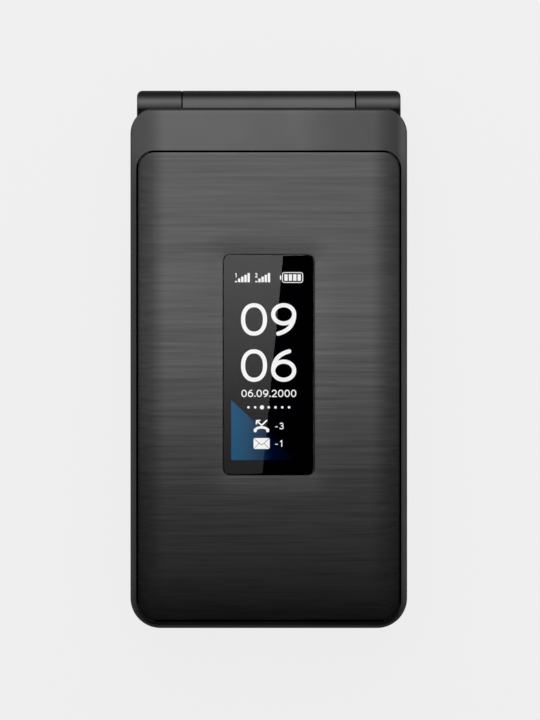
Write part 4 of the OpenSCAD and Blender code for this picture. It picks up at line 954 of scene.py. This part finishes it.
def main():
    make_camera()
    make_studio()

    # The three satin blacks carry painted light along Y from their stop tables; the shell also has painted
    # shade across X and on its walls
    shell_black = satin_shell("shell_satin_black_painted_light", SHELL_PAINTED_LIGHT_ALONG, SHELL_PAINTED_LIGHT_ACROSS, gloss=0.12, wall=0.28)
    frame_black = satin_shell("frame_satin_black_painted_light", FRAME_PAINTED_LIGHT_ALONG, gloss=0.05)
    deck_black = satin_shell("deck_satin_black_painted_light", DECK_PAINTED_LIGHT_ALONG, gloss=0.05)
    back_black = surface("back_fine_grain", grey(0.011), grey(0.017), (0.45, 0.55), 1500, 70, 0.02,
                         gloss=0.35)
    key_black = surface("key_satin_black", grey(0.012), grey(0.017), (0.32, 0.42), 2600, 150, 0.004)
    rubber = surface("rubber", grey(0.012), grey(0.02), (0.7, 0.85), 2200, 150, 0.02)
    jack_black = surface("socket_plastic", grey(0.010), grey(0.016), (0.4, 0.5), 2000, 200, 0.004)
    ring_metal = surface("ring_satin_metal", grey(0.30), grey(0.36), (0.28, 0.36), 3000, 90, 0.003, 0.9,
                         (0.1, 2, 1))
    steel = surface("steel", grey(0.42), grey(0.55), (0.25, 0.38), 1800, 300, 0.004, 1.0)
    tin = surface("tinned_sheet", (0.50, 0.51, 0.52), (0.62, 0.63, 0.64), (0.3, 0.42), 900, 120, 0.006, 1.0)
    gold = surface("gold_contact", (0.80, 0.56, 0.22), (0.90, 0.68, 0.30), (0.25, 0.35), 1500, 300,
                   0.003, 1.0)
    board = surface("board_green", (0.010, 0.085, 0.030), (0.016, 0.120, 0.045), (0.3, 0.42), 1200,
                    400, 0.006)
    amber = surface("flex_amber", (0.45, 0.17, 0.03), (0.55, 0.23, 0.05), (0.3, 0.4), 1500, 400, 0.004)
    domes = surface("dome_film", (0.62, 0.62, 0.58), (0.72, 0.72, 0.67), (0.4, 0.5), 900, 200, 0.006)
    cell = surface("battery_wrap", (0.030, 0.065, 0.110), (0.040, 0.085, 0.140), (0.42, 0.52), 1100,
                   100, 0.01)
    grille = surface("fine_mesh", grey(0.05), grey(0.30), (0.3, 0.5), 5200, 2600, 0.05, 0.8)
    cream = surface("lamp_diffuser", (0.78, 0.74, 0.56), (0.86, 0.83, 0.66), (0.2, 0.3), 900, 500, 0.01)
    dark_glass = surface("dark_glass", (0.004, 0.005, 0.007), (0.005, 0.006, 0.009), (0.03, 0.05), 500,
                         90, 0.0)
    # Near-black print on the lens; the same material is painted shade on the groove walls round the panel and
    # in the hinge seams, and colours the dark lip in the battery cover's slit
    print_and_shade_black = surface("lens_print", grey(0.0008), grey(0.0012), (0.55, 0.65), 2000, 200, 0.0, gloss=0.0)
    display_frame = surface("display_frame", grey(0.05), grey(0.09), (0.4, 0.5), 1500, 200, 0.004)
    white = surface("sign_white", grey(0.62), grey(0.72), (0.45, 0.55), 2500, 300, 0.002)
    green = surface("sign_green", (0.03, 0.42, 0.08), (0.04, 0.50, 0.10), (0.45, 0.55), 2500, 300, 0.002)
    red = surface("sign_red", (0.55, 0.03, 0.02), (0.64, 0.04, 0.03), (0.45, 0.55), 2500, 300, 0.002)
    dim = surface("sign_dark", grey(0.03), grey(0.05), (0.45, 0.55), 2500, 300, 0.002)
    lit = lamp_ink("display_ink", (1.0, 1.0, 1.0), 0.93)
    lit_grey = lamp_ink("display_ink_grey", (0.72, 0.72, 0.72), 0.35)

    # Lid
    add_piece(make_lid_shell(shell_black, print_and_shade_black), "lid", "lid_front_cover", "lid_front_cover")
    add_piece(make_panel(brushed_panel_painted_light(), print_and_shade_black), "lid", "lid_panel", "lid_panel")
    add_piece(make_lens(glass("outer_lens_glass")), "lid", "outer_lens", "outer_lens")
    add_piece(make_lens_print(print_and_shade_black), "lid", "outer_lens")
    add_piece(make_display_image(display_picture()), "lid", "outer_display")
    ink, detail = draw_display()
    add_piece(ink.object("display_signs", IMAGE_Z, lit), "lid", "outer_display")
    add_piece(detail.object("display_sign_lines", IMAGE_Z + 0.01, lit_grey), "lid",
              "outer_display")
    for side in (-1, 1):
        add_piece(make_seam_ring(side, print_and_shade_black), "lid")
    add_piece(make_cover_seam(print_and_shade_black), "base")
    make_key_signs(white, green, red, dim)

    for node, material, rounding in (
            ("lid_inner_frame", frame_black, 0), ("base_front_cover", deck_black, 0),
            ("base_rear_cover", back_black, 0), ("battery_cover", back_black, 0),
            ("main_lens", dark_glass, 0.08), ("nav_ring", ring_metal, 0), ("volume_rocker", key_black, 0.2),
            ("outer_display", display_frame, 0), ("main_display", display_frame, 0),
            ("earpiece_mesh", grille, 0), ("earpiece_speaker", steel, 0), ("lid_board", board, 0),
            ("lid_bumpers", rubber, 0.1), ("lid_screws", steel, 0), ("screw_plugs", rubber, 0),
            ("lid_magnet", steel, 0), ("hinge_unit", steel, 0), ("hinge_bush", rubber, 0),
            ("hinge_flex", amber, 0), ("main_board", board, 0), ("dome_sheet", domes, 0),
            ("battery", cell, 0), ("battery_contacts", gold, 0), ("sim_holder", tin, 0),
            ("usb_port", tin, 0), ("audio_jack", jack_black, 0), ("camera_module", jack_black, 0),
            ("camera_window", dark_glass, 0.1), ("lamp", cream, 0.1), ("loudspeaker", jack_black, 0),
            ("speaker_mesh", grille, 0), ("microphone", steel, 0), ("vibration_motor", steel, 0),
            ("antenna_carrier", jack_black, 0), ("shield_cans", tin, 0), ("base_screws", steel, 0)):
        dress(node, material, rounding)
    for node in list(KEY_SIGNS) + ["soft_left", "soft_right", "call_key", "end_key", "ok_key"]:
        dress(node, key_black)


main()
